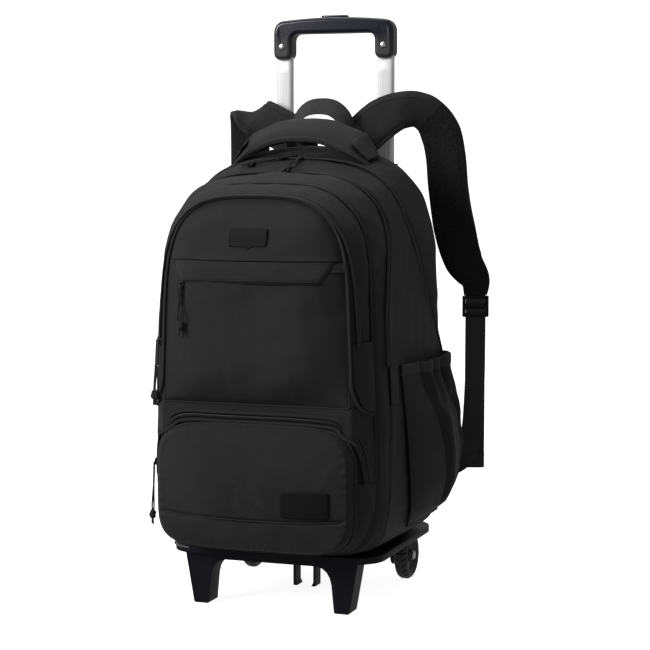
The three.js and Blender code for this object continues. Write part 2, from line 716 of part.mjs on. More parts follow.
// A wheel stands on one of its flats.
const WHEEL_STEPS = 20;
const HUB_STEPS = 16;
const tyreRadius = WHEEL_DIAMETER / 2 / Math.cos(Math.PI / WHEEL_STEPS);
const hubRadius = (tyreRadius - TYRE_WALL) * Math.cos(Math.PI / WHEEL_STEPS) - SEAT_GAP;
const boreRadius = AXLE_DIAMETER / 2 + SEAT_GAP;
const halfTyre = WHEEL_WIDTH / 2;

function tyre() {
  const shoulder = 2.5;
  return turned([
    [tyreRadius - TYRE_WALL, -halfTyre + shoulder],
    [tyreRadius - 2 * shoulder, -halfTyre],
    [tyreRadius - shoulder, -halfTyre + shoulder],
    [tyreRadius, -shoulder],
    [tyreRadius, shoulder],
    [tyreRadius - shoulder, halfTyre - shoulder],
    [tyreRadius - 2 * shoulder, halfTyre],
    [tyreRadius - TYRE_WALL, halfTyre - shoulder],
  ], WHEEL_STEPS);
}

function hub() {
  const boss = AXLE_HEAD / 2 + 1.5;
  const web = 3;
  const rim = 3;
  return turned([
    [boreRadius, -halfTyre + 1],
    [boss, -halfTyre + 1],
    [boss + 1, -web],
    [hubRadius - rim, -web],
    [hubRadius - rim + 1, -halfTyre + 3],
    [hubRadius, -halfTyre + 3],
    [hubRadius, halfTyre - 3],
    [hubRadius - rim + 1, halfTyre - 3],
    [hubRadius - rim, web],
    [boss + 1, web],
    [boss, halfTyre - 1],
    [boreRadius, halfTyre - 1],
  ], HUB_STEPS);
}

function axle() {
  const headFrom = halfTyre - 1 + RUNNING_GAP;
  const radius = AXLE_DIAMETER / 2;
  return turned([
    [0, -halfTyre - WHEEL_ROOM + SEAT_GAP],
    [radius, -halfTyre - WHEEL_ROOM + SEAT_GAP],
    [radius, headFrom],
    [AXLE_HEAD / 2, headFrom],
    [AXLE_HEAD / 2, headFrom + 1.4],
    [AXLE_HEAD / 4, headFrom + 2.4],
    [0, headFrom + 2.4],
  ], 12);
}

for (const [side, sign] of Object.entries(SIDES)) {
  const station = new THREE.Group();
  station.position.set(sign * WHEEL_X, WHEEL_Y, WHEEL_DIAMETER / 2);
  station.rotation.z = -sign * Math.PI / 2;
  station.rotation.x = Math.PI / WHEEL_STEPS;
  group.add(station);
  place(`wheel_tyre_${side}`, tyre(), 'tyre', station);
  place(`wheel_hub_${side}`, hub(), 'hub', station);
  place(`wheel_axle_${side}`, axle(), 'metal', station);
}

// Trolley: outer tubes on the base, inner tubes that slide in them, and the grip on top.

function tube(section, wall, from, to) {
  const shape = roundedRectangle(section.halfWidth, section.halfDepth, section.halfDepth * 0.7);
  const bore = roundedRectangle(section.halfWidth - wall, section.halfDepth - wall, section.halfDepth * 0.7 - wall);
  shape.holes.push(bore);
  return slab(shape, from, to);
}

const innerTubeTop = GRIP_FOOT + TUBE_IN_GRIP;

for (const [side, sign] of Object.entries(SIDES)) {
  const outer = place(
    `outer_tube_${side}`,
    tube(outerTube, OUTER_TUBE_WALL, plateTop + SEAT_GAP, OUTER_TUBE_TOP),
    'silver',
  );
  outer.position.set(sign * TUBE_X, TUBE_Y, 0);
  const inner = place(`inner_tube_${side}`, tube(innerTube, INNER_TUBE_WALL, INNER_TUBE_FOOT, innerTubeTop), 'silver');
  inner.position.set(sign * TUBE_X, TUBE_Y, 0);
}

function yoke() {
  const grow = SEAT_GAP + YOKE_WALL;
  const halfWidth = TUBE_X + outerTube.halfWidth + grow;
  const halfDepth = outerTube.halfDepth + grow;
  const top = OUTER_TUBE_TOP + SEAT_GAP + YOKE_CAP;
  const body = slab(roundedRectangle(halfWidth, halfDepth, halfDepth * 0.6), top - YOKE_HEIGHT, top);
  body.translate(0, TUBE_Y, 0);
  let solid = solidOf(body);
  for (const sign of Object.values(SIDES)) {
    const seat = tubeRod(outerTube, SEAT_GAP, top - YOKE_HEIGHT - 1, OUTER_TUBE_TOP + SEAT_GAP);
    const throat = tubeRod(innerTube, RUNNING_GAP, top - YOKE_HEIGHT - 1, top + 1);
    for (const hole of [seat, throat]) {
      hole.translate(sign * TUBE_X, TUBE_Y, 0);
      solid = solid.subtract(solidOf(hole));
    }
  }
  return geometryOf(solid);
}

place('tube_yoke', yoke(), 'base');

const gripTop = GRIP_FOOT + GRIP_HEIGHT;

function gripShape() {
  const shoulderTop = gripTop - GRIP_CROWN;
  const inside = GRIP_HALF_WIDTH - GRIP_LEG;
  const corner = GRIP_CORNER * 0.6;
  const barFoot = gripTop - GRIP_BAR;
  const shape = new THREE.Shape();
  shape.moveTo(GRIP_HALF_WIDTH, GRIP_FOOT);
  shape.lineTo(GRIP_HALF_WIDTH, shoulderTop - GRIP_CORNER);
  shape.quadraticCurveTo(GRIP_HALF_WIDTH, shoulderTop, GRIP_HALF_WIDTH - GRIP_CORNER, shoulderTop);
  shape.quadraticCurveTo(0, gripTop + GRIP_CROWN, -GRIP_HALF_WIDTH + GRIP_CORNER, shoulderTop);
  shape.quadraticCurveTo(-GRIP_HALF_WIDTH, shoulderTop, -GRIP_HALF_WIDTH, shoulderTop - GRIP_CORNER);
  shape.lineTo(-GRIP_HALF_WIDTH, GRIP_FOOT);
  shape.lineTo(-inside, GRIP_FOOT);
  shape.lineTo(-inside, barFoot - corner);
  shape.quadraticCurveTo(-inside, barFoot, -inside + corner, barFoot);
  shape.lineTo(inside - corner, barFoot);
  shape.quadraticCurveTo(inside, barFoot, inside, barFoot - corner);
  shape.lineTo(inside, GRIP_FOOT);
  return shape;
}

function buttonOutline(room) {
  const radius = BUTTON_WIDTH / 2 - SEAT_GAP + room;
  return roundedRectangle(BUTTON_LENGTH / 2 + room, BUTTON_WIDTH / 2 + room, radius);
}

function grip() {
  const round = 4;
  const body = new THREE.ExtrudeGeometry(gripShape(), {
    depth: GRIP_DEPTH - 2 * round,
    bevelThickness: round,
    bevelSize: round,
    bevelOffset: -round,
    bevelSegments: 2,
    curveSegments: 4,
  });
  body.rotateX(Math.PI / 2);
  body.translate(0, TUBE_Y + GRIP_DEPTH / 2 - round, 0);
  let solid = solidOf(body);
  for (const sign of Object.values(SIDES)) {
    const hole = tubeRod(innerTube, SEAT_GAP, GRIP_FOOT - 1, innerTubeTop + SEAT_GAP);
    hole.translate(sign * TUBE_X, TUBE_Y, 0);
    solid = solid.subtract(solidOf(hole));
  }
  const wellFloor = gripTop + BUTTON_PROUD - BUTTON_HEIGHT - BUTTON_TRAVEL - SEAT_GAP;
  const well = extruded(buttonOutline(SEAT_GAP), BUTTON_HEIGHT + BUTTON_TRAVEL + BUTTON_PROUD, 2);
  well.translate(0, TUBE_Y, wellFloor);
  return geometryOf(solid.subtract(solidOf(well)));
}

place('grip', grip(), 'grip');

function gripButton() {
  const round = 1.5;
  const body = new THREE.ExtrudeGeometry(buttonOutline(0), {
    depth: BUTTON_HEIGHT - 2 * round,
    bevelThickness: round,
    bevelSize: round,
    bevelOffset: -round,
    bevelSegments: 1,
    curveSegments: 2,
  });
  body.translate(0, TUBE_Y, gripTop + BUTTON_PROUD - BUTTON_HEIGHT + round);
  return body;
}

place('grip_button', gripButton(), 'grip');

for (const [side, sign] of Object.entries(SIDES)) {
  const rivet = place(`grip_rivet_${side}`, turned([
    [0, 0],
    [RIVET_DIAMETER / 2, 0],
    [RIVET_DIAMETER / 2 - 1, RIVET_DOME * 0.7],
    [RIVET_DIAMETER / 6, RIVET_DOME],
    [0, RIVET_DOME],
  ], 12), 'silver');
  rivet.position.set(sign * TUBE_X, TUBE_Y - GRIP_DEPTH / 2 - SEAT_GAP, GRIP_FOOT + RIVET_HEIGHT);
  rivet.rotation.x = Math.PI;
}

// Carrying parts: bands of cloth carried along a path.

// Height of the bag's top, at a place across and from front to back.
function topOfBag(x, y) {
  let best = -Infinity;
  for (const [from, to, swell] of [
    [RINGS.main, RINGS.back, SWELL.rear],
    [RINGS.fold, RINGS.main, SWELL.main],
    [RINGS.zip, RINGS.fold, SWELL.second],
  ]) {
    let low = 0;
    let high = Math.PI / 2;
    let share = 0;
    let point = null;
    for (let turn = 0; turn < 30; turn += 1) {
      const angle = (low + high) / 2;
      const start = ringPoint(from, angle).y;
      share = (y - start) / (ringPoint(to, angle).y - start);
      point = bandPoint(from, to, angle, share, swell);
      if (point.x > Math.abs(x)) low = angle;
      else high = angle;
    }
    if (share >= 0 && share <= 1) best = Math.max(best, point.z);
  }
  return best - TOP_SAG;
}

const PADDED_SECTION = [
  [1, 0.35], [0.86, 1], [-0.86, 1], [-1, 0.35], [-1, -0.35], [-0.86, -1], [0.86, -1], [1, -0.35],
];
const FLAT_SECTION = [[1, 1], [-1, 1], [-1, -1], [1, -1]];

// A band carried along rows of { at, across, width, thickness }, smooth between them.
function carried(rows, steps, section) {
  const path = new THREE.CatmullRomCurve3(rows.map((row) => row.at), false, 'centripetal');
  const turn = new THREE.CatmullRomCurve3(rows.map((row) => row.across), false, 'centripetal');
  const between = (name, share) => {
    const spot = share * (rows.length - 1);
    const i = Math.min(rows.length - 2, Math.floor(spot));
    return rows[i][name] + (rows[i + 1][name] - rows[i][name]) * (spot - i);
  };
  const rings = angleRange(0, 1, steps).map((share) => {
    const at = path.getPoint(share);
    const along = path.getTangent(share);
    const across = turn.getPoint(share);
    across.addScaledVector(along, -across.dot(along)).normalize();
    const out = along.clone().cross(across);
    return section.map(([u, v]) => at.clone()
      .addScaledVector(across, u * between('width', share) / 2)
      .addScaledVector(out, v * between('thickness', share) / 2));
  });
  const centreOf = (ring) => ring.reduce((sum, point) => sum.add(point), new THREE.Vector3())
    .multiplyScalar(1 / ring.length);
  const cap = (ring) => ring.map(() => centreOf(ring));
  const ringRows = [cap(rings[0]), ...rings, cap(rings[rings.length - 1])];
  const count = section.length;
  const vertices = ringRows.flat().flatMap((point) => [point.x, point.y, point.z]);
  const faces = [];
  const index = (row, column) => row * count + (column % count);
  for (let row = 0; row < ringRows.length - 1; row += 1) {
    for (let column = 0; column < count; column += 1) {
      faces.push(index(row, column), index(row, column + 1), index(row + 1, column + 1));
      faces.push(index(row, column), index(row + 1, column + 1), index(row + 1, column));
    }
  }
  return closedGeometry(vertices, faces);
}

// Place from shares of the bag: out of its half width, ahead of its back in shares of the depth,
// up its height.
function bagSpot(out, ahead, up) {
  return new THREE.Vector3(out * BAG_HALF_WIDTH, BAG_BACK - ahead * BAG_DEPTH, BAG_BASE + up * BAG_HEIGHT);
}

function vector(x, y, z) {
  return new THREE.Vector3(x, y, z);
}

// Routes of the shoulder straps from the bag's top to their ladder locks. The right one falls
// outwards beside the bag, the left one folds over behind it.
const STRAP_ROUTES = {
  right: [
    { out: 0.26, ahead: 0.066, up: 0.985, across: vector(1, 0, 0), broad: 1, thick: 0.5 },
    { out: 0.27, ahead: 0.064, up: 1.01, across: vector(1, 0, -0.15), broad: 1, thick: 0.8 },
    { out: 0.35, ahead: 0.058, up: 1.036, across: vector(0.8, 0, -0.6), broad: 1, thick: 1 },
    { out: 0.48, ahead: 0.05, up: 1.07, across: vector(0.66, 0, -0.75), broad: 1, thick: 1 },
    { out: 0.64, ahead: 0.04, up: 1.096, across: vector(0.48, 0.1, -0.86), broad: 1, thick: 1 },
    { out: 0.79, ahead: 0.016, up: 1.1, across: vector(0.1, 0.2, -0.96), broad: 1, thick: 1 },
    { out: 0.9, ahead: -0.008, up: 1.077, across: vector(-0.4, 0.2, -0.88), broad: 1, thick: 1 },
    { out: 0.965, ahead: -0.03, up: 1.035, across: vector(-0.65, 0.2, -0.7), broad: 1, thick: 1 },
    { out: 0.995, ahead: -0.055, up: 0.982, across: vector(-0.92, 0.15, -0.35), broad: 1, thick: 1 },
    { out: 1.015, ahead: -0.077, up: 0.887, across: vector(-0.97, 0.1, -0.18), broad: 1, thick: 1 },
    { out: 1.06, ahead: -0.095, up: 0.79, across: vector(-0.97, 0, -0.2), broad: 1, thick: 1 },
    { out: 1.135, ahead: -0.112, up: 0.7, across: vector(-0.93, -0.2, -0.3), broad: 0.92, thick: 0.9 },
    { out: 1.235, ahead: -0.12, up: 0.65, across: vector(-0.94, -0.3, -0.1), broad: 0.7, thick: 0.6 },
    { out: 1.24, ahead: -0.12, up: 0.61, across: vector(-0.94, -0.34, 0), broad: 0.55, thick: 0.4 },
  ],
  left: [
    { out: -0.26, ahead: 0.066, up: 0.985, across: vector(1, 0, 0), broad: 1, thick: 0.5 },
    { out: -0.27, ahead: 0.064, up: 1.01, across: vector(1, 0, 0.15), broad: 1, thick: 0.8 },
    { out: -0.36, ahead: 0.058, up: 1.034, across: vector(0.8, 0, 0.6), broad: 1, thick: 1 },
    { out: -0.51, ahead: 0.05, up: 1.062, across: vector(0.75, 0, 0.66), broad: 1, thick: 1 },
    { out: -0.655, ahead: 0.033, up: 1.086, across: vector(0.9, 0, 0.4), broad: 1, thick: 1 },
    { out: -0.745, ahead: 0.002, up: 1.094, across: vector(1, 0, 0.15), broad: 1, thick: 1 },
    { out: -0.78, ahead: -0.036, up: 1.07, across: vector(1, 0, 0.05), broad: 1, thick: 1 },
    { out: -0.8, ahead: -0.062, up: 1.0, across: vector(1, 0, 0), broad: 1, thick: 1 },
    { out: -0.81, ahead: -0.08, up: 0.89, across: vector(1, 0, 0), broad: 1, thick: 1 },
    { out: -0.81, ahead: -0.095, up: 0.78, across: vector(1, 0, 0), broad: 1, thick: 1 },
    { out: -0.81, ahead: -0.108, up: 0.7, across: vector(1, 0, 0), broad: 0.92, thick: 0.9 },
    { out: -0.81, ahead: -0.115, up: 0.65, across: vector(1, 0, 0), broad: 0.7, thick: 0.6 },
    { out: -0.81, ahead: -0.118, up: 0.61, across: vector(1, 0, 0), broad: 0.55, thick: 0.4 },
  ],
};

// A strap starts on the bag's top, above the highest cloth under its end.
function strap(route) {
  const rows = route.map((row) => ({
    at: bagSpot(row.out, row.ahead, row.up),
    across: row.across,
    width: STRAP_WIDTH * row.broad,
    thickness: STRAP_THICKNESS * row.thick,
  }));
  const root = rows[0];
  const inner = Math.abs(root.at.x) - root.width / 2;
  root.at.z = topOfBag(inner, root.at.y - root.thickness / 2) + SEAT_GAP;
  return carried(rows, 22, PADDED_SECTION);
}

for (const side of Object.keys(SIDES)) {
  place(`shoulder_strap_${side}`, strap(STRAP_ROUTES[side]), 'cloth');
}

// A ladder lock hangs under the end of each strap: a frame with three bars.
function ladderLock() {
  const frame = roundedRectangle(LOCK_WIDTH / 2, LOCK_HEIGHT / 2, LOCK_BAR * 0.7);
  const slot = (LOCK_HEIGHT - 3 * LOCK_BAR) / 2;
  for (const up of [-1, 1]) {
    const hole = new THREE.Path();
    const middle = up * (slot + LOCK_BAR) / 2;
    const half = LOCK_WIDTH / 2 - LOCK_BAR;
    hole.moveTo(-half, middle - slot / 2);
    hole.lineTo(half, middle - slot / 2);
    hole.lineTo(half, middle + slot / 2);
    hole.lineTo(-half, middle + slot / 2);
    frame.holes.push(hole);
  }
  return frontExtrusion(frame, -LOCK_THICKNESS / 2, LOCK_THICKNESS / 2);
}

// Turn of each lock about the vertical, so that its face looks the way its strap does.
const LOCK_TURN = { left: 0, right: 0.35 };
const LOCK_ROOM = { left: 0.4, right: 0.8 };
const locks = {};
for (const side of Object.keys(SIDES)) {
  const route = STRAP_ROUTES[side];
  const end = route[route.length - 1];
  const spot = bagSpot(end.out, end.ahead, end.up);
  spot.z -= LOCK_HEIGHT / 2 + LOCK_ROOM[side];
  const turn = LOCK_TURN[side];
  const lock = place(`ladder_lock_${side}`, ladderLock(), 'webbing');
  lock.position.copy(spot);
  lock.rotation.z = turn;
  locks[side] = {
    foot: spot.clone().add(vector(0, 0, -LOCK_HEIGHT / 2 - SEAT_GAP)),
    across: vector(Math.cos(turn), Math.sin(turn), 0),
    out: vector(-Math.sin(turn), Math.cos(turn), 0),
  };
}

// Webbing: a tab on the bag's lower rear edge, a length up to the lock and a free tail under it.
const ANCHOR_UP = 0.165;
const ANCHOR_OUT = 0.86;
const ANCHOR_WIDTH = 34;
const TAIL_LENGTH = 190;
const WEBBING_PLANE = BAG_BACK + 2.6;
const WEBBING_SEWN = 14;

// Rows from the tab to the lock: shares of the way across, up and back.
const LOWER_WEBBING_ROWS = {
  right: [
    { go: 0, up: 0, back: 0, across: vector(0, 0, 1) },
    { go: 0.45, up: 0, back: 0.035, across: vector(0, 0, 1) },
    { go: 0.8, up: 0.06, back: 0.12, across: vector(-0.5, 0, 0.85) },
    { go: 0.96, up: 0.2, back: 0.4, across: vector(-0.9, -0.1, 0.4) },
    { go: 1.02, up: 0.5, back: 0.75, across: vector(-0.94, -0.3, 0) },
    { go: 1, up: 0.85, back: 1, across: vector(-0.94, -0.34, 0) },
    { go: 1, up: 1, back: 1, across: vector(-0.94, -0.34, 0) },
  ],
  left: [
    { go: 0, up: 0, back: 0, across: vector(0, 0, 1) },
    { go: -0.55, up: 0, back: 0.035, across: vector(0, 0, 1) },
    { go: -1.05, up: 0.07, back: 0.15, across: vector(0.7, 0, 0.7) },
    { go: -1.02, up: 0.25, back: 0.45, across: vector(1, 0, 0.2) },
    { go: -0.05, up: 0.55, back: 0.8, across: vector(1, 0, 0) },
    { go: 1, up: 0.85, back: 1, across: vector(1, 0, 0) },
    { go: 1, up: 1, back: 1, across: vector(1, 0, 0) },
  ],
};

function lowerWebbing(side, sign) {
  const foot = BAG_BASE + ANCHOR_UP * BAG_HEIGHT;
  const inner = BAG_HALF_WIDTH * ANCHOR_OUT + ANCHOR_WIDTH - WEBBING_SEWN;
  const start = vector(sign * inner, WEBBING_PLANE + WEBBING_THICKNESS + SEAT_GAP, foot);
  const end = locks[side].foot.clone().addScaledVector(locks[side].out, -WEBBING_THICKNESS);
  const way = end.clone().sub(start);
  return carried(LOWER_WEBBING_ROWS[side].map((row) => ({
    at: start.clone().add(vector(way.x * row.go, way.y * row.back, way.z * row.up)),
    across: row.across,
    width: WEBBING_WIDTH,
    thickness: WEBBING_THICKNESS,
  })), 14, FLAT_SECTION);
}

// Rows of the free tail: share of its length down, and how far it has swung out.
const TAIL_ROWS = [[0, 0], [0.35, 2], [0.7, 1.5], [1, 3]];

function tailWebbing(side) {
  const { foot, across, out } = locks[side];
  return carried(TAIL_ROWS.map(([down, swing]) => ({
    at: foot.clone().addScaledVector(out, WEBBING_THICKNESS + swing).add(vector(0, 0, -down * TAIL_LENGTH)),
    across,
    width: WEBBING_WIDTH,
    thickness: WEBBING_THICKNESS,
  })), 6, FLAT_SECTION);
}

function anchorTab(sign) {
  const foot = BAG_BASE + ANCHOR_UP * BAG_HEIGHT;
  const inner = BAG_HALF_WIDTH * ANCHOR_OUT;
  const half = WEBBING_WIDTH / 2;
  const shape = new THREE.Shape();
  shape.moveTo(inner, foot - half * 2);
  shape.lineTo(inner + ANCHOR_WIDTH, foot - half);
  shape.lineTo(inner + ANCHOR_WIDTH, foot + half);
  shape.lineTo(inner, foot + half * 2);
  const geometry = frontExtrusion(shape, WEBBING_PLANE - WEBBING_THICKNESS / 2, WEBBING_PLANE + WEBBING_THICKNESS / 2);
  if (sign < 0) geometry.rotateZ(Math.PI).translate(0, 2 * WEBBING_PLANE, 0);
  return geometry;
}

for (const [side, sign] of Object.entries(SIDES)) {
  place(`lower_webbing_${side}`, lowerWebbing(side, sign), 'webbing');
  place(`tail_webbing_${side}`, tailWebbing(side), 'webbing');
  place(`anchor_tab_${side}`, anchorTab(sign), 'cloth');
}

// Grab handle and hang loop: arches over the bag's top. up: height of the underside over the bag,
// in shares of the arch's rise.
function arch(halfSpan, rise, y, rows, look) {
  const full = [...rows, ...rows.slice(0, -1).reverse().map((row) => ({ ...row, out: -row.out }))];
  return full.map((row) => {
    const x = row.out * halfSpan;
    const reach = look.across.y * look.width / 2;
    const foot = Math.max(...[-1, 0, 1].map((side) => topOfBag(x, y + side * reach)));
    return {
      at: vector(x, y, foot + SEAT_GAP + look.lift + row.up * rise + look.thickness * row.thick / 2),
      across: look.across,
      width: look.width * row.broad,
      thickness: look.thickness * row.thick,
    };
  });
}

place('grab_handle', carried(arch(HANDLE_HALF_SPAN, HANDLE_RISE, HANDLE_Y, [
  { out: 1.14, up: 0.04, broad: 0.8, thick: 0.25 },
  { out: 1, up: 0.06, broad: 0.9, thick: 0.45 },
  { out: 0.86, up: 0.14, broad: 1, thick: 0.9 },
  { out: 0.68, up: 0.34, broad: 1, thick: 1 },
  { out: 0.46, up: 0.75, broad: 1, thick: 1 },
  { out: 0.24, up: 0.96, broad: 1, thick: 1 },
  { out: 0, up: 1, broad: 1, thick: 1 },
], { across: vector(0, 1, 0), width: HANDLE_WIDTH, thickness: HANDLE_THICKNESS, lift: 0.75 }), 18, PADDED_SECTION), 'cloth');

place('hang_loop', carried(arch(LOOP_HALF_SPAN, LOOP_RISE, LOOP_Y, [
  { out: 1, up: 0, broad: 1, thick: 1 },
  { out: 1.02, up: 0.3, broad: 1, thick: 1 },
  { out: 0.84, up: 0.72, broad: 1, thick: 1 },
  { out: 0.45, up: 0.95, broad: 1, thick: 1 },
  { out: 0, up: 1, broad: 1, thick: 1 },
], {
  across: vector(0, 0.6, 0.8),
  width: WEBBING_WIDTH,
  thickness: WEBBING_THICKNESS,
  lift: 0,
}), 14, FLAT_SECTION), 'webbing');

// Small parts on the front.

// A thin piece that follows a panel. Its corners are given in the front view, left and right ends
// at each level from top to foot.
function onPanel(depthOf, levels, thickness, sag, columns = 4) {
  const grids = [0, 1].map((back) => levels.map(({ left, right, z }) => (
    angleRange(left, right, columns).map((x) => (
      vector(x, depthOf(x, z) - SEAT_GAP - sag - thickness * (1 - back), z)
    )))));
  return wallSolid(grids[0], grids[1], false);
}

const onFront = (x, z) => faceDepth(frontOutline, frontCentre, PANEL_LEVELS, frontPanelDepth, x, z);
const onPocket = (x, z) => faceDepth(pocketOutline, pocketCentre, POCKET_LEVELS, pocketDepth, x, z);

const weltTop = BAG_BASE + WELT_UP * BAG_HEIGHT;
const weltFoot = weltTop - WELT_HEIGHT;
const labelZ = weltTop + LABEL_ROOM + LABEL_HEIGHT / 2;
place('label_patch', onPanel(onFront, [
  { left: -LABEL_WIDTH / 2, right: LABEL_WIDTH / 2, z: labelZ + LABEL_HEIGHT / 2 },
  { left: -LABEL_WIDTH / 2, right: LABEL_WIDTH / 2, z: labelZ },
  { left: -LABEL_WIDTH / 2, right: LABEL_WIDTH / 2, z: labelZ - LABEL_HEIGHT / 2 },
], LABEL_THICKNESS, LABEL_SAG), 'patch');

// Rows of the welt over the front zip. drop: share of its height. left and right: its ends, in shares
// of the front panel's half width.
const WELT_ROWS = [
  { drop: 0, left: -0.845, right: 0.881 },
  { drop: 0.5, left: -0.827, right: 0.827 },
  { drop: 1, left: -0.755, right: 0.755 },
];
const panelHalfWidth = RINGS.front.half * BAG_HALF_WIDTH;
const WELT_COLUMNS = 16;
place('zip_welt', onPanel(onFront, WELT_ROWS.map(({ drop, left, right }) => ({
  left: left * panelHalfWidth,
  right: right * panelHalfWidth,
  z: weltTop - drop * WELT_HEIGHT,
})), WELT_THICKNESS, WELT_SAG, WELT_COLUMNS), 'cloth');

const badgeZ = pocketCentre.z - BADGE_DROP;
place('badge_patch', onPanel(onPocket, [
  { left: BADGE_X - BADGE_WIDTH / 2, right: BADGE_X + BADGE_WIDTH / 2, z: badgeZ + BADGE_HEIGHT / 2 },
  { left: BADGE_X - BADGE_WIDTH / 2, right: BADGE_X + BADGE_WIDTH / 2, z: badgeZ },
  { left: BADGE_X - BADGE_WIDTH / 2, right: BADGE_X + BADGE_WIDTH / 2, z: badgeZ - BADGE_HEIGHT / 2 },
], BADGE_THICKNESS, BADGE_SAG), 'patch');

// Zip pulls: a slider with a link, and a loop of cord with a knot. Each hangs in a frame of its own,
// down along -Z and out along -Y.
function slider(linkLength) {
  const body = new THREE.ExtrudeGeometry(roundedRectangle(SLIDER_WIDTH / 2, SLIDER_LENGTH / 2, 1.5), {
    depth: SLIDER_THICKNESS,
    bevelEnabled: false,
    curveSegments: 1,
  });
  body.rotateX(Math.PI / 2);
  const link = extruded(roundedRectangle(LINK_WIDTH / 2, linkLength / 2, 1.2), LINK_THICKNESS);
  link.rotateX(Math.PI / 2);
  link.translate(0, LINK_SINK - SLIDER_THICKNESS, -linkLength / 2);
  return geometryOf(solidOf(body).add(solidOf(link)));
}

// Half of the cord's loop: how far out and how far down under the link, in millimetres.
const CORD_LOOP = [
  [1.4, 0],
  [1.5, 3],
  [2.1, 7],
  [3.1, 12],
  [4.2, 17],
  [5, 22],
  [5.1, 26],
  [3.7, 29.6],
  [0, 31.4],
];

function pullCord(stretch) {
  const out = LINK_THICKNESS / 2 + SLIDER_THICKNESS - LINK_SINK;
  const half = CORD_LOOP.map(([x, down]) => vector(x, -out, -down * stretch));
  const points = [...half, ...half.slice(0, -1).reverse().map((point) => vector(-point.x, point.y, point.z))];
  const ring = new THREE.Shape();
  const radius = CORD_DIAMETER / 2;
  for (let i = 0; i < 8; i += 1) {
    const angle = (i + 0.5) / 8 * Math.PI * 2;
    const corner = [radius * Math.cos(angle), radius * Math.sin(angle)];
    if (i === 0) ring.moveTo(...corner);
    else ring.lineTo(...corner);
  }
  const cord = new THREE.ExtrudeGeometry(ring, {
    steps: 12,
    extrudePath: new THREE.CatmullRomCurve3(points, false, 'centripetal'),
    bevelEnabled: false,
  });
  const knot = turned([[0, -KNOT_HALF_LENGTH], [KNOT_RADIUS, 0], [0, KNOT_HALF_LENGTH]], 6);
  knot.rotateX(Math.PI / 2);
  const foot = CORD_LOOP[CORD_LOOP.length - 1][1] * stretch + KNOT_ROOM;
  knot.translate(0, -out, -foot);
  let solid = solidOf(cord).add(solidOf(knot));
  for (const sign of [-1, 1]) {
    const end = new THREE.CylinderGeometry(radius, radius, CORD_TAIL_LENGTH, 4);
    end.rotateX(Math.PI / 2);
    end.rotateY(-sign * CORD_TAIL_SPREAD);
    end.translate(sign * CORD_TAIL_OUT, -out, -foot - CORD_TAIL_DROP);
    solid = solid.add(solidOf(end));
  }
  return geometryOf(solid);
}

// Each pull: where its slider sits, how far it stands off there, the way it hangs, the way its face
// looks, its link's length and how long its loop is beside the common one. A place on the gusset is a
// share of the bag's height and a share of the way across the gusset.
const WELT_PULL_OUT = -0.746;
const WELT_PULL_DROP = 6;

function pullRows() {
  const gusset = (up, share) => {
    const angle = Math.PI - archFoot(RINGS.front, BAG_BASE + up * BAG_HEIGHT);
    return bandPoint(RINGS.front, RINGS.zip, angle, share, SWELL.front);
  };
  const underWelt = (out, drop) => {
    const x = out * panelHalfWidth;
    return vector(x, onFront(x, weltFoot - drop), weltFoot - drop);
  };
  const onTop = (x) => {
    const y = ringPoint(RINGS.main, Math.PI / 2).y;
    return vector(x, y, topOfBag(x, y - 1));
  };
  return {
    welt: {
      at: underWelt(WELT_PULL_OUT, WELT_PULL_DROP),
      off: 0.6,
      down: vector(0.03, -0.04, -1),
      face: vector(-0.42, -1, 0),
      link: 18,
      stretch: 0.8,
    },
    front_zip: {
      at: gusset(0.5636, 0.25),
      off: 0.4,
      down: vector(-0.035, -0.03, -1),
      face: vector(-0.75, -0.66, 0),
      link: 28,
      stretch: 1,
    },
    second_zip: {
      at: gusset(0.5466, 0.97),
      off: 0.55,
      down: vector(-0.06, 0, -1),
      face: vector(-0.95, -0.3, 0),
      link: 28,
      stretch: 1.1,
    },
    pocket: {
      at: gusset(0.2246, 0.6),
      off: 0.65,
      down: vector(-0.04, 0, -1),
      face: vector(-0.8, -0.6, 0),
      link: 28,
      stretch: 1,
    },
    main_left: {
      at: onTop(-3),
      off: 1.2,
      down: vector(-0.78, -0.6, -0.17),
      face: vector(-0.1, -0.2, 1),
      link: 24,
      stretch: 0.85,
    },
    main_right: {
      at: onTop(6),
      off: 0.8,
      down: vector(0.05, -0.95, -0.25),
      face: vector(0, -0.25, 0.97),
      link: 24,
      stretch: 0.95,
    },
  };
}

for (const [name, row] of Object.entries(pullRows())) {
  const hang = row.down.clone().normalize().negate();
  const out = row.face.clone().addScaledVector(hang, -row.face.dot(hang)).normalize();
  const across = hang.clone().cross(out);
  const frame = new THREE.Matrix4().makeBasis(across, out.clone().negate(), hang);
  const station = new THREE.Group();
  station.position.copy(row.at).addScaledVector(out, row.off);
  station.quaternion.setFromRotationMatrix(frame);
  group.add(station);
  place(`slider_${name}`, slider(row.link), 'metal', station);
  const cord = place(`pull_cord_${name}`, pullCord(row.stretch), 'webbing', station);
  cord.position.set(0, 0, -row.link - SEAT_GAP);
}

// The measured frame: middle of the box's foot at the origin, without the cords.
const cords = [];
group.traverse((part) => {
  if (part.name.startsWith('pull_cord')) cords.push(part);
});
const box = new THREE.Box3();
group.updateMatrixWorld(true);
group.traverse((part) => {
  if (part.isMesh && !cords.includes(part)) box.expandByObject(part, true);
});
const middle = box.getCenter(new THREE.Vector3());
group.position.set(-middle.x, -middle.y, -box.min.z);

export default group;
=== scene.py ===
"""Looks of a wheeled backpack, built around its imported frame.

Metres. X to the right seen from the front, Y to the back, Z up. Shapes are worked out in the
part's own drawing frame, where the middle of the bag is at X = 0, and are set at ORIGIN when
their mesh is made.
"""
import math

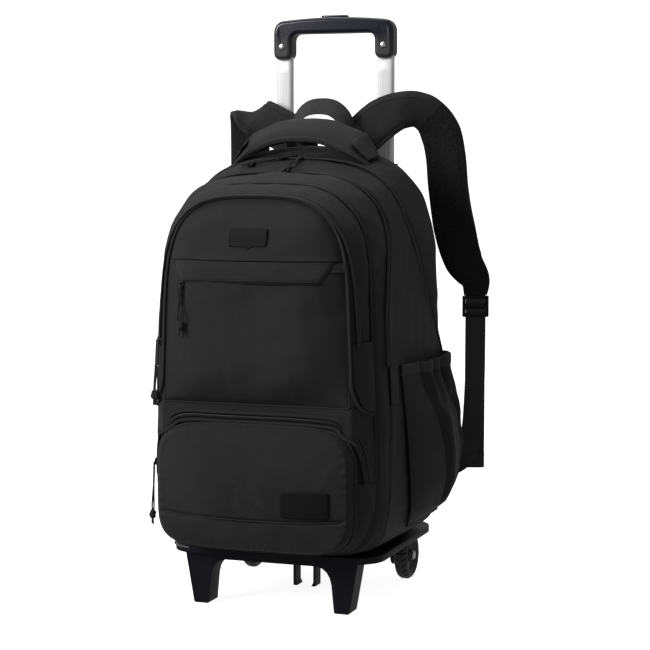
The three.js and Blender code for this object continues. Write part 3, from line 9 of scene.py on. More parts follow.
import bpy
import numpy as np
from bpy.props import FloatProperty, FloatVectorProperty, PointerProperty
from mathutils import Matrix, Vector


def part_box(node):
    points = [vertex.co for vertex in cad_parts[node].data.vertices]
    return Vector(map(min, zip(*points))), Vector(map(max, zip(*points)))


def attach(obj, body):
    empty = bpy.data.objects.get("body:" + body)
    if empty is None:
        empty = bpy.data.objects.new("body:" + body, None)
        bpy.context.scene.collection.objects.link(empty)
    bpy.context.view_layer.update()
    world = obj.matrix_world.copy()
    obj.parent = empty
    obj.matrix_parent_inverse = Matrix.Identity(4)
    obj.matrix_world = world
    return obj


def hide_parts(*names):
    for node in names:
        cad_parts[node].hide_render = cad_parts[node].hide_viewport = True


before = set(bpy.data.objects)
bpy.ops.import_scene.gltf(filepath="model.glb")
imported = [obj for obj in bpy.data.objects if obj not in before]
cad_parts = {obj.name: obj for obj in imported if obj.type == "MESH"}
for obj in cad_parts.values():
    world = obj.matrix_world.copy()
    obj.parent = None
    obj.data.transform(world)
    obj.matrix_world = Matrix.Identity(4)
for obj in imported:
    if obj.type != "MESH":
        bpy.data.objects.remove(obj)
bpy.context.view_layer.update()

bl_info = {
    "name": "Wheeled Backpack",
    "version": (1, 0, 0),
    "blender": (4, 5, 0),
    "location": "View3D > Sidebar > Backpack",
    "description": "Builds a wheeled backpack with its zips, straps, base and trolley handle",
    "category": "Object",
}

# Places taken from the frame
GRIP_LOW, GRIP_HIGH = (np.array(corner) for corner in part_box("grip"))
TUBE_Y = 0.120
ORIGIN = np.array([(GRIP_LOW[0] + GRIP_HIGH[0]) / 2, (GRIP_LOW[1] + GRIP_HIGH[1]) / 2 - TUBE_Y, 0.0])

# The bag's driving sizes, as the part has them
BAG_HALF_WIDTH = 0.145
BAG_HEIGHT = 0.472
BAG_DEPTH = 0.261
BAG_BASE = 0.0685
BAG_BACK = 0.1051
SHOULDER_HEIGHT = 0.246
FOOT_SQUARE = 8
FOOT_FLARE = 0.05
FRONT_PLANE = BAG_BACK - BAG_DEPTH
PANEL_SEAM = BAG_BASE + 0.178
PANEL_BULGE = 0.022
POCKET_HALF_WIDTH = 0.120
POCKET_HALF_HEIGHT = 0.072
POCKET_CENTRE = BAG_BASE + 0.082
POCKET_BULGE = 0.025
POCKET_RIM = 0.009
POCKET_SQUARE = 5
CLOTH = 0.002

# Sections of the bag, as shares of its sizes: see the part
RINGS = {
    "front": dict(low=1, high=0.993, half=0.767, top=0.877, crown=0.013, foot=0.024, square=3.8),
    "zip": dict(low=0.886, high=0.862, half=0.885, top=0.911, crown=0.017, foot=0.009, square=4),
    "fold": dict(low=0.797, high=0.667, half=0.96, top=0.936, crown=0.025, foot=0, square=4.2),
    "main": dict(low=0.07, high=0.467, half=1, top=0.97, crown=0.034, foot=0, square=4.2),
    "back": dict(low=0, high=0.012, half=0.93, top=0.965, crown=0.03, foot=0.004, square=3.7),
}
SWELL = {"front": 0.07, "second": 0.06, "main": 0.015, "rear": 0.125}

# Detail on the cloth
SEAM_REACH = 0.0032
TURN = 2 * math.pi


class BagSizes(bpy.types.PropertyGroup):
    """Sizes of the bag's sewn detail."""

    piping: FloatProperty(name="Piping", description="Radius of the piping", default=0.0018, unit="LENGTH")
    zip_width: FloatProperty(name="Zip width", description="Width of a closed coil", default=0.0046, unit="LENGTH")
    zip_pitch: FloatProperty(name="Zip pitch", description="From tooth to tooth", default=0.0026, unit="LENGTH")
    seam_depth: FloatProperty(name="Seam depth", description="How far a seam sinks", default=0.0034, unit="LENGTH")
    ripple: FloatProperty(name="Ripple", description="Height of the cloth's soft waves", default=0.0011, unit="LENGTH")
    stitch: FloatProperty(name="Stitch", description="Length of a stitch", default=0.003, unit="LENGTH")


class BagColours(bpy.types.PropertyGroup):
    """Colours of the bag."""

    cloth: FloatVectorProperty(name="Cloth", description="Outer nylon", subtype="COLOR",
        default=(0.0175, 0.0175, 0.0178))
    lining: FloatVectorProperty(name="Lining", description="Mesh under the straps", subtype="COLOR",
        default=(0.011, 0.011, 0.0115))
    webbing: FloatVectorProperty(name="Webbing", description="Webbing and cords", subtype="COLOR",
        default=(0.036, 0.036, 0.037))
    plastic: FloatVectorProperty(name="Plastic", description="Moulded base", subtype="COLOR",
        default=(0.006, 0.0055, 0.009))
    grip: FloatVectorProperty(name="Grip", description="Trolley grip", subtype="COLOR", default=(0.008, 0.0085, 0.018))
    tube: FloatVectorProperty(name="Tube", description="Trolley tubes", subtype="COLOR", default=(0.9, 0.9, 0.91))
    rubber: FloatVectorProperty(name="Rubber", description="Tyres", subtype="COLOR", default=(0.01, 0.01, 0.0105))
    patch: FloatVectorProperty(name="Patch", description="Label and badge", subtype="COLOR",
        default=(0.0125, 0.0125, 0.013))
    floor: FloatVectorProperty(name="Floor", description="Studio floor", subtype="COLOR", default=(0.93, 0.93, 0.93))


def sizes():
    return bpy.context.scene.bag_sizes


def colours():
    return bpy.context.scene.bag_colours


# Curves and surfaces

def smooth(low, high, value):
    """A soft step from 0 at low to 1 at high."""
    share = np.clip((np.asarray(value, float) - low) / (high - low), 0, 1)
    return share * share * (3 - 2 * share)


def signed_power(value, power):
    return np.sign(value) * np.abs(value) ** power


def unit(vectors):
    return vectors / np.maximum(np.linalg.norm(vectors, axis=-1, keepdims=True), 1e-12)


def lengths_along(points):
    """Distance from the first point to each point of a line."""
    steps = np.linalg.norm(np.diff(points, axis=0), axis=-1)
    return np.concatenate([[0.0], np.cumsum(steps)])


def resampled(points, count):
    """The same line with its points evenly spaced."""
    reach = lengths_along(points)
    spots = np.linspace(0, reach[-1], count)
    return np.stack([np.interp(spots, reach, points[:, axis]) for axis in range(3)], -1)


def spline(points, count):
    """A centripetal curve through the points: each span is a blend of the lines through its four
    nearest points, weighted by the square roots of their distances."""
    points = np.asarray(points, float)
    padded = np.vstack([2 * points[0] - points[1], points, 2 * points[-1] - points[-2]])
    spot = np.linspace(0, len(points) - 1, count)
    index = np.minimum(spot.astype(int), len(points) - 2)
    share = (spot - index)[:, None]
    p0, p1, p2, p3 = (padded[index + step] for step in range(4))
    gap = [np.maximum(np.linalg.norm(b - a, axis=-1, keepdims=True) ** 0.5, 1e-6)
           for a, b in ((p0, p1), (p1, p2), (p2, p3))]
    slope1 = ((p1 - p0) / gap[0] - (p2 - p0) / (gap[0] + gap[1]) + (p2 - p1) / gap[1]) * gap[1]
    slope2 = ((p2 - p1) / gap[1] - (p3 - p1) / (gap[1] + gap[2]) + (p3 - p2) / gap[2]) * gap[1]
    cubic = 2 * p1 - 2 * p2 + slope1 + slope2
    square = -3 * p1 + 3 * p2 - 2 * slope1 - slope2
    return ((cubic * share + square) * share + slope1) * share + p1


def ripples(points, height, wave, seed):
    """Soft waves in space: a sum of sines along random directions, with the given mean wavelength."""
    random = np.random.default_rng(seed)
    total = np.zeros(points.shape[:-1])
    count = 9
    for _ in range(count):
        direction = unit(random.normal(size=3)) * TURN / (wave * random.uniform(0.6, 1.6))
        total += np.sin(points @ direction + random.uniform(0, TURN))
    return height * total / math.sqrt(count)


def ring_point(name, angle):
    """Point of a section of the bag: a superellipse, boxy at the shoulders and boxier at the foot,
    with a crowned top, flared low down, and set forward or back by its height."""
    ring = RINGS[name]
    angle = np.asarray(angle, float)
    upper = np.sin(angle) >= 0
    power = np.where(upper, 2 / ring["square"], 2 / FOOT_SQUARE)
    across = signed_power(np.cos(angle), power)
    rise = np.abs(np.sin(angle)) ** power
    middle = BAG_BASE + SHOULDER_HEIGHT
    top = BAG_BASE + ring["top"] * BAG_HEIGHT
    foot = BAG_BASE + ring["foot"] * BAG_HEIGHT
    high = middle + (top - middle) * rise - ring["crown"] * BAG_HEIGHT * across ** 2 * rise
    z = np.where(upper, high, middle - (middle - foot) * rise)
    share = (z - BAG_BASE) / BAG_HEIGHT
    flare = 1 + FOOT_FLARE * (1 - smooth(0.25, 0.7, share))
    lift = np.clip((share - 0.47) / 0.35, 0, 1) if name == "main" else smooth(0.555, 0.87, share)
    ahead = ring["low"] + (ring["high"] - ring["low"]) * lift
    return np.stack([ring["half"] * BAG_HALF_WIDTH * across * flare, BAG_BACK - ahead * BAG_DEPTH, z], -1)


def ring_outward(name, angle):
    """Direction in the section's plane away from the bag's middle."""
    step = ring_point(name, angle + 0.01) - ring_point(name, angle - 0.01)
    return unit(np.stack([step[..., 2], np.zeros(step.shape[:-1]), -step[..., 0]], -1))


def band_point(front, rear, angle, share, swell, stand=0.0):
    """Point between two sections: a straight blend that swells by a sine between its seams."""
    angle, share = np.broadcast_arrays(np.asarray(angle, float), np.asarray(share, float))
    a, b = ring_point(front, angle), ring_point(rear, angle)
    width = np.linalg.norm(a - b, axis=-1)
    s = share[..., None]
    point = a * (1 - s) + b * s
    out = unit(ring_outward(front, angle) * (1 - s) + ring_outward(rear, angle) * s)
    clear = smooth(0.02, 0.12, (point[..., 2] - BAG_BASE) / BAG_HEIGHT)
    return point + out * (swell * width * np.sin(math.pi * share) * clear + stand)[..., None]


def spread_angles(count, start=0.0, end=TURN):
    """Angles of a section from start to end whose points lie about evenly along it. Each quarter is
    sampled more finely towards its ends, where a superellipse moves fastest."""
    share = np.linspace(0, 1, 600)
    eased = share ** 4 / (share ** 4 + (1 - share) ** 4)
    quarters = [(quarter + eased[:-1]) * math.pi / 2 for quarter in range(-4, 8)]
    dense = np.concatenate(quarters)
    dense = dense[(dense > start) & (dense < end)]
    dense = np.concatenate([[start], dense, [end]])
    reach = lengths_along(ring_point("fold", dense))
    return np.interp(np.linspace(0, reach[-1], count), reach, dense)




def angle_at(name, height):
    """Angle on the right side at which a section has a height, read from a fine table of its points."""
    eased = np.linspace(0, 1, 1200)
    eased = eased ** 4 / (eased ** 4 + (1 - eased) ** 4) * math.pi / 2
    table = np.concatenate([eased[:-1] - math.pi / 2, eased])
    return np.interp(height, ring_point(name, table)[:, 2], table)


# Meshes

def flipped_outwards(grid, inside):
    """The grid, turned over if its faces look towards the inside point."""
    across = np.diff(grid, axis=1)[:-1]
    down = np.diff(grid, axis=0)[:, :-1]
    normal = np.cross(across, down)
    away = grid[:-1, :-1] - np.asarray(inside)
    return grid[:, ::-1] if np.sum(normal * away) < 0 else grid


def mesh_of(name, grids, wrap=False, capped=False):
    """One mesh of one or more grids of points. wrap closes each row on itself; capped closes the
    first and last rows to their middles. The map is in metres along rows and columns."""
    vertices, faces, map_points, start = [], [], [], 0
    for grid in grids:
        if capped:
            ends = [np.broadcast_to(row.mean(0), row.shape)[None] for row in (grid[0], grid[-1])]
            grid = np.concatenate([ends[0], grid, ends[1]])
        rows, columns = grid.shape[:2]
        row, column = np.meshgrid(np.arange(rows - 1), np.arange(columns - (0 if wrap else 1)), indexing="ij")
        corners = ((row, column), (row, column + 1), (row + 1, column + 1), (row + 1, column))
        faces.append(np.stack([start + a * columns + b % columns for a, b in corners], -1).reshape(-1, 4))
        closed = np.concatenate([grid[rows // 2], grid[rows // 2][:1]])
        across = lengths_along(closed)
        down = lengths_along(grid[:, columns // 2])
        map_points.append(np.stack([np.stack([across[b], down[a]], -1) for a, b in corners], -2).reshape(-1, 2))
        vertices.append(grid.reshape(-1, 3))
        start += rows * columns
    mesh = bpy.data.meshes.new(name)
    mesh.from_pydata((np.concatenate(vertices) + ORIGIN).tolist(), [], np.concatenate(faces).tolist())
    layer = mesh.uv_layers.new(name="cloth")
    layer.data.foreach_set("uv", np.concatenate(map_points).astype(np.float32).ravel())
    mesh.polygons.foreach_set("use_smooth", np.ones(len(mesh.polygons), bool))
    return mesh


def tidy_mesh(mesh, outwards):
    """Merges the doubles of a mesh and, on a closed one, turns its faces outwards."""
    import bmesh
    work = bmesh.new()
    work.from_mesh(mesh)
    bmesh.ops.remove_doubles(work, verts=work.verts, dist=1e-6)
    if outwards:
        bmesh.ops.recalc_face_normals(work, faces=work.faces)
    work.to_mesh(mesh)
    work.free()


def piece(name, mesh, finish, body="bag", replaces=()):
    """An object of the model: set in the scene, finished, and riding on its body."""
    made = bpy.data.objects.new(name, mesh)
    bpy.context.scene.collection.objects.link(made)
    mesh.materials.append(finish)
    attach(made, body)
    if replaces:
        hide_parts(*replaces)
    return made


def skin(name, grids, finish, thick=0.0, inside=None, body="bag", replaces=(), wrap=False):
    """An open surface with its faces outwards, given a wall on its inner side."""
    if inside is not None:
        grids = [flipped_outwards(grid, inside) for grid in grids]
    mesh = mesh_of(name, grids, wrap=wrap)
    tidy_mesh(mesh, False)
    made = piece(name, mesh, finish, body, replaces)
    if thick:
        wall = made.modifiers.new("wall", "SOLIDIFY")
        wall.thickness = thick
        wall.offset = -1
    return made


def solid(name, grids, finish, body="bag", replaces=(), capped=True):
    """A closed surface of tubes or rounds, with its ends capped and its faces outwards."""
    mesh = mesh_of(name, grids, wrap=True, capped=capped)
    tidy_mesh(mesh, True)
    return piece(name, mesh, finish, body, replaces)


def frames_along(path, up):
    """Across and up directions along a path, square to it and as near as can be to the given up."""
    tangent = unit(np.gradient(path, axis=0))
    across = unit(np.cross(tangent, np.broadcast_to(up, path.shape)))
    return across, np.cross(across, tangent)


def swept(path, up, section, width=1.0, height=1.0, offset=0.0):
    """A section carried along a path: each point is the path's, plus the section's two numbers times
    the width and height there."""
    across, upward = frames_along(path, up)
    count = len(path)
    wide = np.broadcast_to(width, (count,))[:, None, None]
    high = np.broadcast_to(height, (count,))[:, None, None]
    centre = path + upward * np.broadcast_to(offset, (count,))[:, None]
    return centre[:, None] + across[:, None] * section[None, :, :1] * wide + upward[:, None] * section[None, :, 1:] * high


def round_section(sides=10, square=2.0):
    angle = (np.arange(sides) + 0.5) / sides * TURN
    return np.stack([signed_power(np.cos(angle), 2 / square), signed_power(np.sin(angle), 2 / square)], -1)


def rounded_outline(half_width, half_height, radius, steps=6):
    """Rectangle with round corners, anticlockwise from its lower right corner."""
    angle = np.linspace(-math.pi / 2, 0, steps)
    corner = np.stack([np.cos(angle), np.sin(angle)], -1) * radius
    spots = []
    for turn, (x, y) in enumerate(((1, -1), (1, 1), (-1, 1), (-1, -1))):
        c, s = math.cos(turn * math.pi / 2), math.sin(turn * math.pi / 2)
        turned = corner @ np.array([[c, s], [-s, c]])
        spots.append(turned + [x * (half_width - radius), y * (half_height - radius)])
    return np.concatenate(spots)


def outline_normals(outline):
    step = np.roll(outline, -1, 0) - np.roll(outline, 1, 0)
    return unit(np.stack([step[:, 1], -step[:, 0]], -1))


def prism_rows(outline, depth, radius, steps=4):
    """A plate with rounded edges: the outline drawn in by a quarter circle at both faces. Rows of
    (x, y, depth), from the back face to the front one."""
    normal = outline_normals(outline)
    turn = np.linspace(0, math.pi / 2, steps + 1)
    back = [(radius * (1 - math.sin(t)), radius * (1 - math.cos(t))) for t in turn]
    rows = [(inset, level) for inset, level in back] + [(inset, depth - level) for inset, level in back[::-1]]
    return np.stack([np.concatenate([outline - normal * inset, np.full((len(outline), 1), level)], -1)
                     for inset, level in rows])


def plate_mesh(name, rows):
    """A closed mesh of a plate's rows, with one face at each end."""
    count, columns = rows.shape[:2]
    row, column = np.meshgrid(np.arange(count - 1), np.arange(columns), indexing="ij")
    corners = ((row, column), (row, column + 1), (row + 1, column + 1), (row + 1, column))
    faces = np.stack([a * columns + b % columns for a, b in corners], -1).reshape(-1, 4).tolist()
    faces.append(list(range(columns))[::-1])
    faces.append([(count - 1) * columns + i for i in range(columns)])
    mesh = bpy.data.meshes.new(name)
    mesh.from_pydata((rows.reshape(-1, 3) + ORIGIN).tolist(), [], faces)
    smooth_faces = np.ones(len(mesh.polygons), bool)
    smooth_faces[-2:] = False
    mesh.polygons.foreach_set("use_smooth", smooth_faces)
    tidy_mesh(mesh, True)
    return mesh


# Finishes

class Wire:
    """A value in a material, so that shader maths can be written as an expression."""

    def __init__(self, tree, socket):
        self.tree = tree
        self.socket = socket

    def math(self, operation, other=None, swap=False):
        node = self.tree.nodes.new("ShaderNodeMath")
        node.operation = operation
        values = (other, self) if swap else (self, other)
        for spot, value in enumerate(values):
            if isinstance(value, Wire):
                self.tree.links.new(value.socket, node.inputs[spot])
            elif value is not None:
                node.inputs[spot].default_value = value
        return Wire(self.tree, node.outputs[0])

    def __add__(self, other):
        return self.math("ADD", other)

    def __sub__(self, other):
        return self.math("SUBTRACT", other)

    def __rsub__(self, other):
        return self.math("SUBTRACT", other, swap=True)

    def __mul__(self, other):
        return self.math("MULTIPLY", other)

    __radd__ = __add__
    __rmul__ = __mul__

    def sine(self):
        return self.math("SINE")

    def clipped(self):
        return self.math("MAXIMUM", 0.0).math("MINIMUM", 1.0)


class Finish:
    """A material whose shader constants are set at once, with its patterns added by expressions."""

    def __init__(self, name, **constants):
        self.material = bpy.data.materials.new(name)
        self.material.use_nodes = True
        self.tree = self.material.node_tree
        self.shader = self.tree.nodes["Principled BSDF"]
        for socket, value in constants.items():
            self.shader.inputs[socket.replace("_", " ")].default_value = value
        self.object_place = self.node("ShaderNodeTexCoord").outputs["Object"]
        self.map_place = self.node("ShaderNodeUVMap", {"uv_map": "cloth"}).outputs["UV"]

    def node(self, kind, settings=None, **sockets):
        """A node of a kind: its settings first, then the values or links of its sockets."""
        made = self.tree.nodes.new(kind)
        for key, value in (settings or {}).items():
            setattr(made, key, value)
        for key, value in sockets.items():
            socket = made.inputs[key.replace("_", " ")]
            if isinstance(value, Wire):
                self.tree.links.new(value.socket, socket)
            elif isinstance(value, bpy.types.NodeSocket):
                self.tree.links.new(value, socket)
            else:
                socket.default_value = value
        return made

    def wire(self, socket):
        return Wire(self.tree, socket)

    def noise(self, scale, detail=3.0, place=None):
        made = self.node("ShaderNodeTexNoise", Vector=place or self.object_place, Scale=scale, Detail=detail)
        return self.wire(made.outputs["Fac"])

    def along(self, axis):
        """One coordinate of the piece's own map, in metres."""
        made = self.node("ShaderNodeSeparateXYZ", Vector=self.map_place)
        return self.wire(made.outputs[axis])

    def blend(self, share, first, second):
        made = self.node("ShaderNodeMix", {"data_type": "RGBA"})
        self.tree.links.new(share.socket, made.inputs["Factor"])
        for spot, colour in ((6, first), (7, second)):
            if isinstance(colour, Wire):
                self.tree.links.new(colour.socket, made.inputs[spot])
            else:
                made.inputs[spot].default_value = (*colour, 1.0)
        return self.wire(made.outputs[2])

    def colour(self, wire):
        self.tree.links.new(wire.socket, self.shader.inputs["Base Color"])
        return self

    def roughness(self, wire):
        self.tree.links.new(wire.socket, self.shader.inputs["Roughness"])
        return self

    def relief(self, height, distance, strength=1.0):
        made = self.node("ShaderNodeBump", Height=height, Distance=distance, Strength=strength)
        self.tree.links.new(made.outputs["Normal"], self.shader.inputs["Normal"])
        return self


def shade(colour, factor):
    return tuple(min(1.0, part * factor) for part in colour)


FINISHES = {}


def finish(name):
    """The material of that name, made by its function the first time it is asked for."""
    if name not in FINISHES:
        FINISHES[name] = MAKERS[name](name).material
    return FINISHES[name]


def nylon(name, tone=1.0):
    """Woven nylon: fine crossed threads, slow changes of tone, and faint rubbing. A tone above 1 lightens it all over,
    as a painted highlight.
    """
    base = colours().cloth
    made = Finish(name, Sheen_Weight=0.05, Sheen_Roughness=0.4, Specular_IOR_Level=0.2)
    threads = (made.along("X") * (TURN / 0.0007)).sine() * (made.along("Y") * (TURN / 0.0007)).sine()
    slow = made.noise(9.0, 2.0)
    speckle = made.noise(900.0, 2.0)
    tone_share = (slow * 0.6 + speckle * 0.4 - 0.2).clipped()
    made.colour(made.blend(tone_share, shade(base, 0.82 * tone), shade(base, 1.2 * tone)))
    made.roughness(slow * 0.12 + speckle * 0.1 + 0.42)
    made.relief(threads * 0.35 + speckle * 0.5 + made.noise(55.0, 3.0) * 3.0, 0.00025)
    return made


def lining(name):
    """Spacer mesh: small round holes in a soft dark net."""
    made = Finish(name, Sheen_Weight=0.03, Specular_IOR_Level=0.1)
    cells = made.wire(made.node("ShaderNodeTexVoronoi", {"feature": "F1"}, Vector=made.map_place, Scale=420.0).outputs["Distance"])
    made.colour(made.blend((cells * 1.6).clipped(), shade(colours().lining, 0.5), shade(colours().lining, 1.3)))
    made.roughness(cells * 0.1 + 0.75)
    made.relief(cells, 0.0006)
    return made


def webbing(name):
    """Webbing: ribs across its length with a finer twill between them."""
    made = Finish(name, Sheen_Weight=0.05, Specular_IOR_Level=0.15)
    ribs = (made.along("Y") * (TURN / 0.0021)).sine()
    twill = ((made.along("X") + made.along("Y")) * (TURN / 0.0012)).sine()
    made.colour(made.blend((ribs * 0.3 + 0.5).clipped(), shade(colours().webbing, 0.75), shade(colours().webbing, 1.3)))
    made.roughness(twill * 0.05 + 0.6)
    made.relief(ribs * 0.7 + twill * 0.3, 0.00035)
    return made


def cord_braid(name):
    """Braided cord: two crossing spirals of strands."""
    made = Finish(name, Specular_IOR_Level=0.15)
    right = ((made.along("X") + made.along("Y")) * (TURN / 0.0016)).sine()
    left = ((made.along("X") - made.along("Y")) * (TURN / 0.0016)).sine()
    made.colour(made.blend((right * left * 0.4 + 0.5).clipped(), shade(colours().webbing, 0.5), shade(colours().webbing, 1.1)))
    made.roughness(right * 0.05 + 0.62)
    made.relief(right * left, 0.0003)
    return made


def coil(name):
    """The zip's coil: smooth dark nylon."""
    made = Finish(name, Specular_IOR_Level=0.2)
    speck = made.noise(300.0)
    made.colour(made.blend(speck, shade(colours().cloth, 0.35), shade(colours().cloth, 0.8)))
    made.roughness(speck * 0.1 + 0.32)
    return made


def moulded(name):
    """Moulded plastic: a fine spark-eroded grain and slow changes of gloss."""
    made = Finish(name, Specular_IOR_Level=0.18)
    grain, slow = made.noise(1500.0, 2.0), made.noise(14.0, 2.0)
    made.colour(made.blend(slow, shade(colours().plastic, 0.8), shade(colours().plastic, 1.3)))
    made.roughness(slow * 0.14 + grain * 0.08 + 0.3)
    made.relief(grain, 0.00008)
    return made


def rim(name):
    """A pale finish for the base's lip: a painted highlight that stands for a glint on the dark plastic."""
    made = Finish(name, Specular_IOR_Level=0.5)
    slow = made.noise(30.0, 2.0)
    made.colour(made.blend(slow, (0.05, 0.05, 0.055), (0.1, 0.1, 0.11)))
    made.roughness(slow * 0.1 + 0.3)
    return made


def grip_plastic(name):
    """The grip: polished on top, duller and warmer low on its legs."""
    made = Finish(name, Coat_Weight=0.12, Coat_Roughness=0.12, Specular_IOR_Level=0.3)
    height = made.wire(made.node("ShaderNodeSeparateXYZ", Vector=made.object_place).outputs["Z"])
    low = ((GRIP_HIGH[2] - 0.02 - height) * 45.0).clipped()
    grain = made.noise(700.0, 2.0)
    made.colour(made.blend(low, tuple(colours().grip), (0.034, 0.032, 0.031)))
    made.roughness(low * 0.16 + grain * 0.06 + 0.16)
    made.relief(grain, 0.00005)
    return made


def tube_metal(name):
    """Anodised tube: fine streaks along its length."""
    made = Finish(name, Metallic=0.12, Specular_IOR_Level=0.5)
    stretched = made.node("ShaderNodeMapping", Vector=made.object_place, Scale=(900.0, 900.0, 6.0))
    streaks = made.noise(1.0, 2.0, stretched.outputs["Vector"])
    made.colour(made.blend(streaks, shade(colours().tube, 0.93), shade(colours().tube, 1.05)))
    made.roughness(streaks * 0.1 + 0.22)
    made.relief(streaks, 0.00003)
    return made


def steel(name):
    """Bright small metal parts."""
    made = Finish(name, Metallic=1.0)
    speck = made.noise(500.0, 2.0)
    made.colour(made.blend(speck, (0.5, 0.5, 0.51), (0.72, 0.72, 0.74)))
    made.roughness(speck * 0.15 + 0.18)
    return made


def enamel(name):
    """Sliders and links: dark enamel, worn a little brighter in specks."""
    made = Finish(name, Metallic=0.6, Specular_IOR_Level=0.6)
    speck = made.noise(450.0, 3.0)
    worn = ((speck - 0.62) * 6.0).clipped()
    made.colour(made.blend(worn, (0.016, 0.016, 0.017), (0.12, 0.12, 0.125)))
    made.roughness(speck * 0.2 + 0.18)
    return made


def rubber(name):
    """Tyre: smooth dark rubber with dust in its grain."""
    made = Finish(name, Specular_IOR_Level=0.55)
    grain, slow = made.noise(900.0, 2.0), made.noise(40.0, 2.0)
    made.colour(made.blend(slow, shade(colours().rubber, 0.7), shade(colours().rubber, 1.6)))
    made.roughness(slow * 0.15 + grain * 0.08 + 0.24)
    made.relief(grain, 0.0001)
    return made


def patch_face(name):
    """Label and badge: a soft rubbery face with a fine grain."""
    made = Finish(name, Specular_IOR_Level=0.15)
    grain = made.noise(800.0, 2.0)
    made.colour(made.blend(grain, shade(colours().patch, 0.25), shade(colours().patch, 0.5)))
    made.roughness(grain * 0.1 + 0.6)
    made.relief(grain, 0.0001)
    return made


def studio_floor(name):
    made = Finish(name, Specular_IOR_Level=0.2, Emission_Color=(1, 1, 1, 1), Emission_Strength=0.9)
    slow = made.noise(3.0, 2.0)
    made.colour(made.blend(slow, shade(colours().floor, 0.995), shade(colours().floor, 1.0)))
    made.roughness(slow * 0.05 + 0.6)
    return made


MAKERS = {
    "nylon": nylon,
    # The same nylon lightened by a third: a painted highlight for the piping, bindings, welt and the main zip's folds
    "nylon_pale": lambda name: nylon(name, 1.35),
    "lining": lining,
    "webbing": webbing,
    "cord_braid": cord_braid,
    "coil": coil,
    "moulded": moulded,
    # rim is the pale painted glint of the base's lip
    "rim": rim,
    "grip_plastic": grip_plastic,
    "tube_metal": tube_metal,
    "steel": steel,
    "enamel": enamel,
    "rubber": rubber,
    "patch_face": patch_face,
    "studio_floor": studio_floor,
}


# Camera, lights and floor

def make_camera():
    """The photograph's view, solved from its straight edges: a long lens from the front right."""
    data = bpy.data.cameras.new("camera")
    data.lens = 105.23
    data.sensor_width = 36
    made = bpy.data.objects.new("camera", data)
    made.location = ORIGIN + [0.7918, -2.1545, 0.530]
    made.rotation_euler = (math.radians(90 - 5.11), 0, math.radians(19.5))
    bpy.context.scene.collection.objects.link(made)
    bpy.context.scene.camera = made


def make_light(name, place, aim, size, power):
    data = bpy.data.lights.new(name, "AREA")
    data.shape = "RECTANGLE"
    data.size, data.size_y = size
    data.energy = power
    made = bpy.data.objects.new(name, data)
    made.location = place
    made.rotation_euler = (Vector(aim) - Vector(place)).to_track_quat("-Z", "Y").to_euler()
    bpy.context.scene.collection.objects.link(made)


def make_floor():
    """Floor that turns up into a wall behind: flat, then a quarter circle, then upright."""
    turn = np.linspace(0, math.pi / 2, 24)
    radius = 1.2
    profile = np.concatenate([
        [[-4.0, 0.0]],
        np.stack([2.0 + radius * np.sin(turn), radius * (1 - np.cos(turn))], -1),
        [[2.0 + radius, 5.0]],
    ])
    across = np.linspace(-6, 6, 3)
    grid = np.stack([
        np.broadcast_to(across[None, :], (len(profile), 3)),
        np.broadcast_to(profile[:, :1], (len(profile), 3)),
        np.broadcast_to(profile[:, 1:], (len(profile), 3)),
    ], -1)
    mesh = mesh_of("studio_floor", [grid])
    made = bpy.data.objects.new("studio_floor", mesh)
    bpy.context.scene.collection.objects.link(made)
    mesh.materials.append(finish("studio_floor"))
    made.visible_diffuse = False
    made.visible_glossy = False


# Zip pulls

# Each pull: the way it hangs, the way its face looks, its link's length and how long its loop is
PULLS = {
    "welt": ((0.03, -0.04, -1), (-0.42, -1, 0), 0.018, 0.8),
    "front_zip": ((-0.035, -0.03, -1), (-0.75, -0.66, 0), 0.028, 1),
    "second_zip": ((-0.06, 0, -1), (-0.95, -0.3, 0), 0.028, 1.1),
    "pocket": ((-0.04, 0, -1), (-0.8, -0.6, 0), 0.028, 1),
    "main_left": ((-0.78, -0.6, -0.17), (-0.1, -0.2, 1), 0.024, 0.85),
    "main_right": ((0.05, -0.95, -0.25), (0, -0.25, 0.97), 0.024, 0.95),
}
SLIDER_LENGTH = 0.009
LINK_SINK = 0.0004
LINK_THICKNESS = 0.0016
SLIDER_THICKNESS = 0.004
CORD_PLANE = LINK_THICKNESS / 2 + SLIDER_THICKNESS - LINK_SINK
CORD_START = 0.0003
CORD_DIAMETER = 0.002
# Half of a loop of cord: out and down under the link
CORD_LOOP = np.array([
    [1.4, 0], [1.5, 3], [2.1, 7], [3.1, 12], [4.2, 17], [5, 22], [5.1, 26], [3.7, 29.6], [0, 31.4],
]) / 1000
KNOT_ROOM = 0.003


def pull_station(name):
    """Place and directions of a pull: its slider's middle, and across, back and up, from the way it
    hangs and its slider's corners."""
    down, face, _, _ = PULLS[name]
    hang = -unit(np.array(down, float))
    out = np.array(face, float)
    out = unit(out - hang * (out @ hang))
    across = np.cross(hang, out)
    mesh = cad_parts["slider_" + name].data
    corners = np.empty(len(mesh.vertices) * 3, np.float32)
    mesh.vertices.foreach_get("co", corners)
    corners = corners.reshape(-1, 3).astype(float)
    x, y, z = corners @ across, corners @ out, corners @ hang
    middle = across * (x.min() + x.max()) / 2 + out * y.min() + hang * (z.max() - SLIDER_LENGTH / 2)
    return middle - ORIGIN, across, -out, hang


def in_station(station, points):
    """Points of a pull's own frame, set in the model."""
    middle, across, back, hang = station
    return middle + points[..., :1] * across + points[..., 1:2] * back + points[..., 2:] * hang


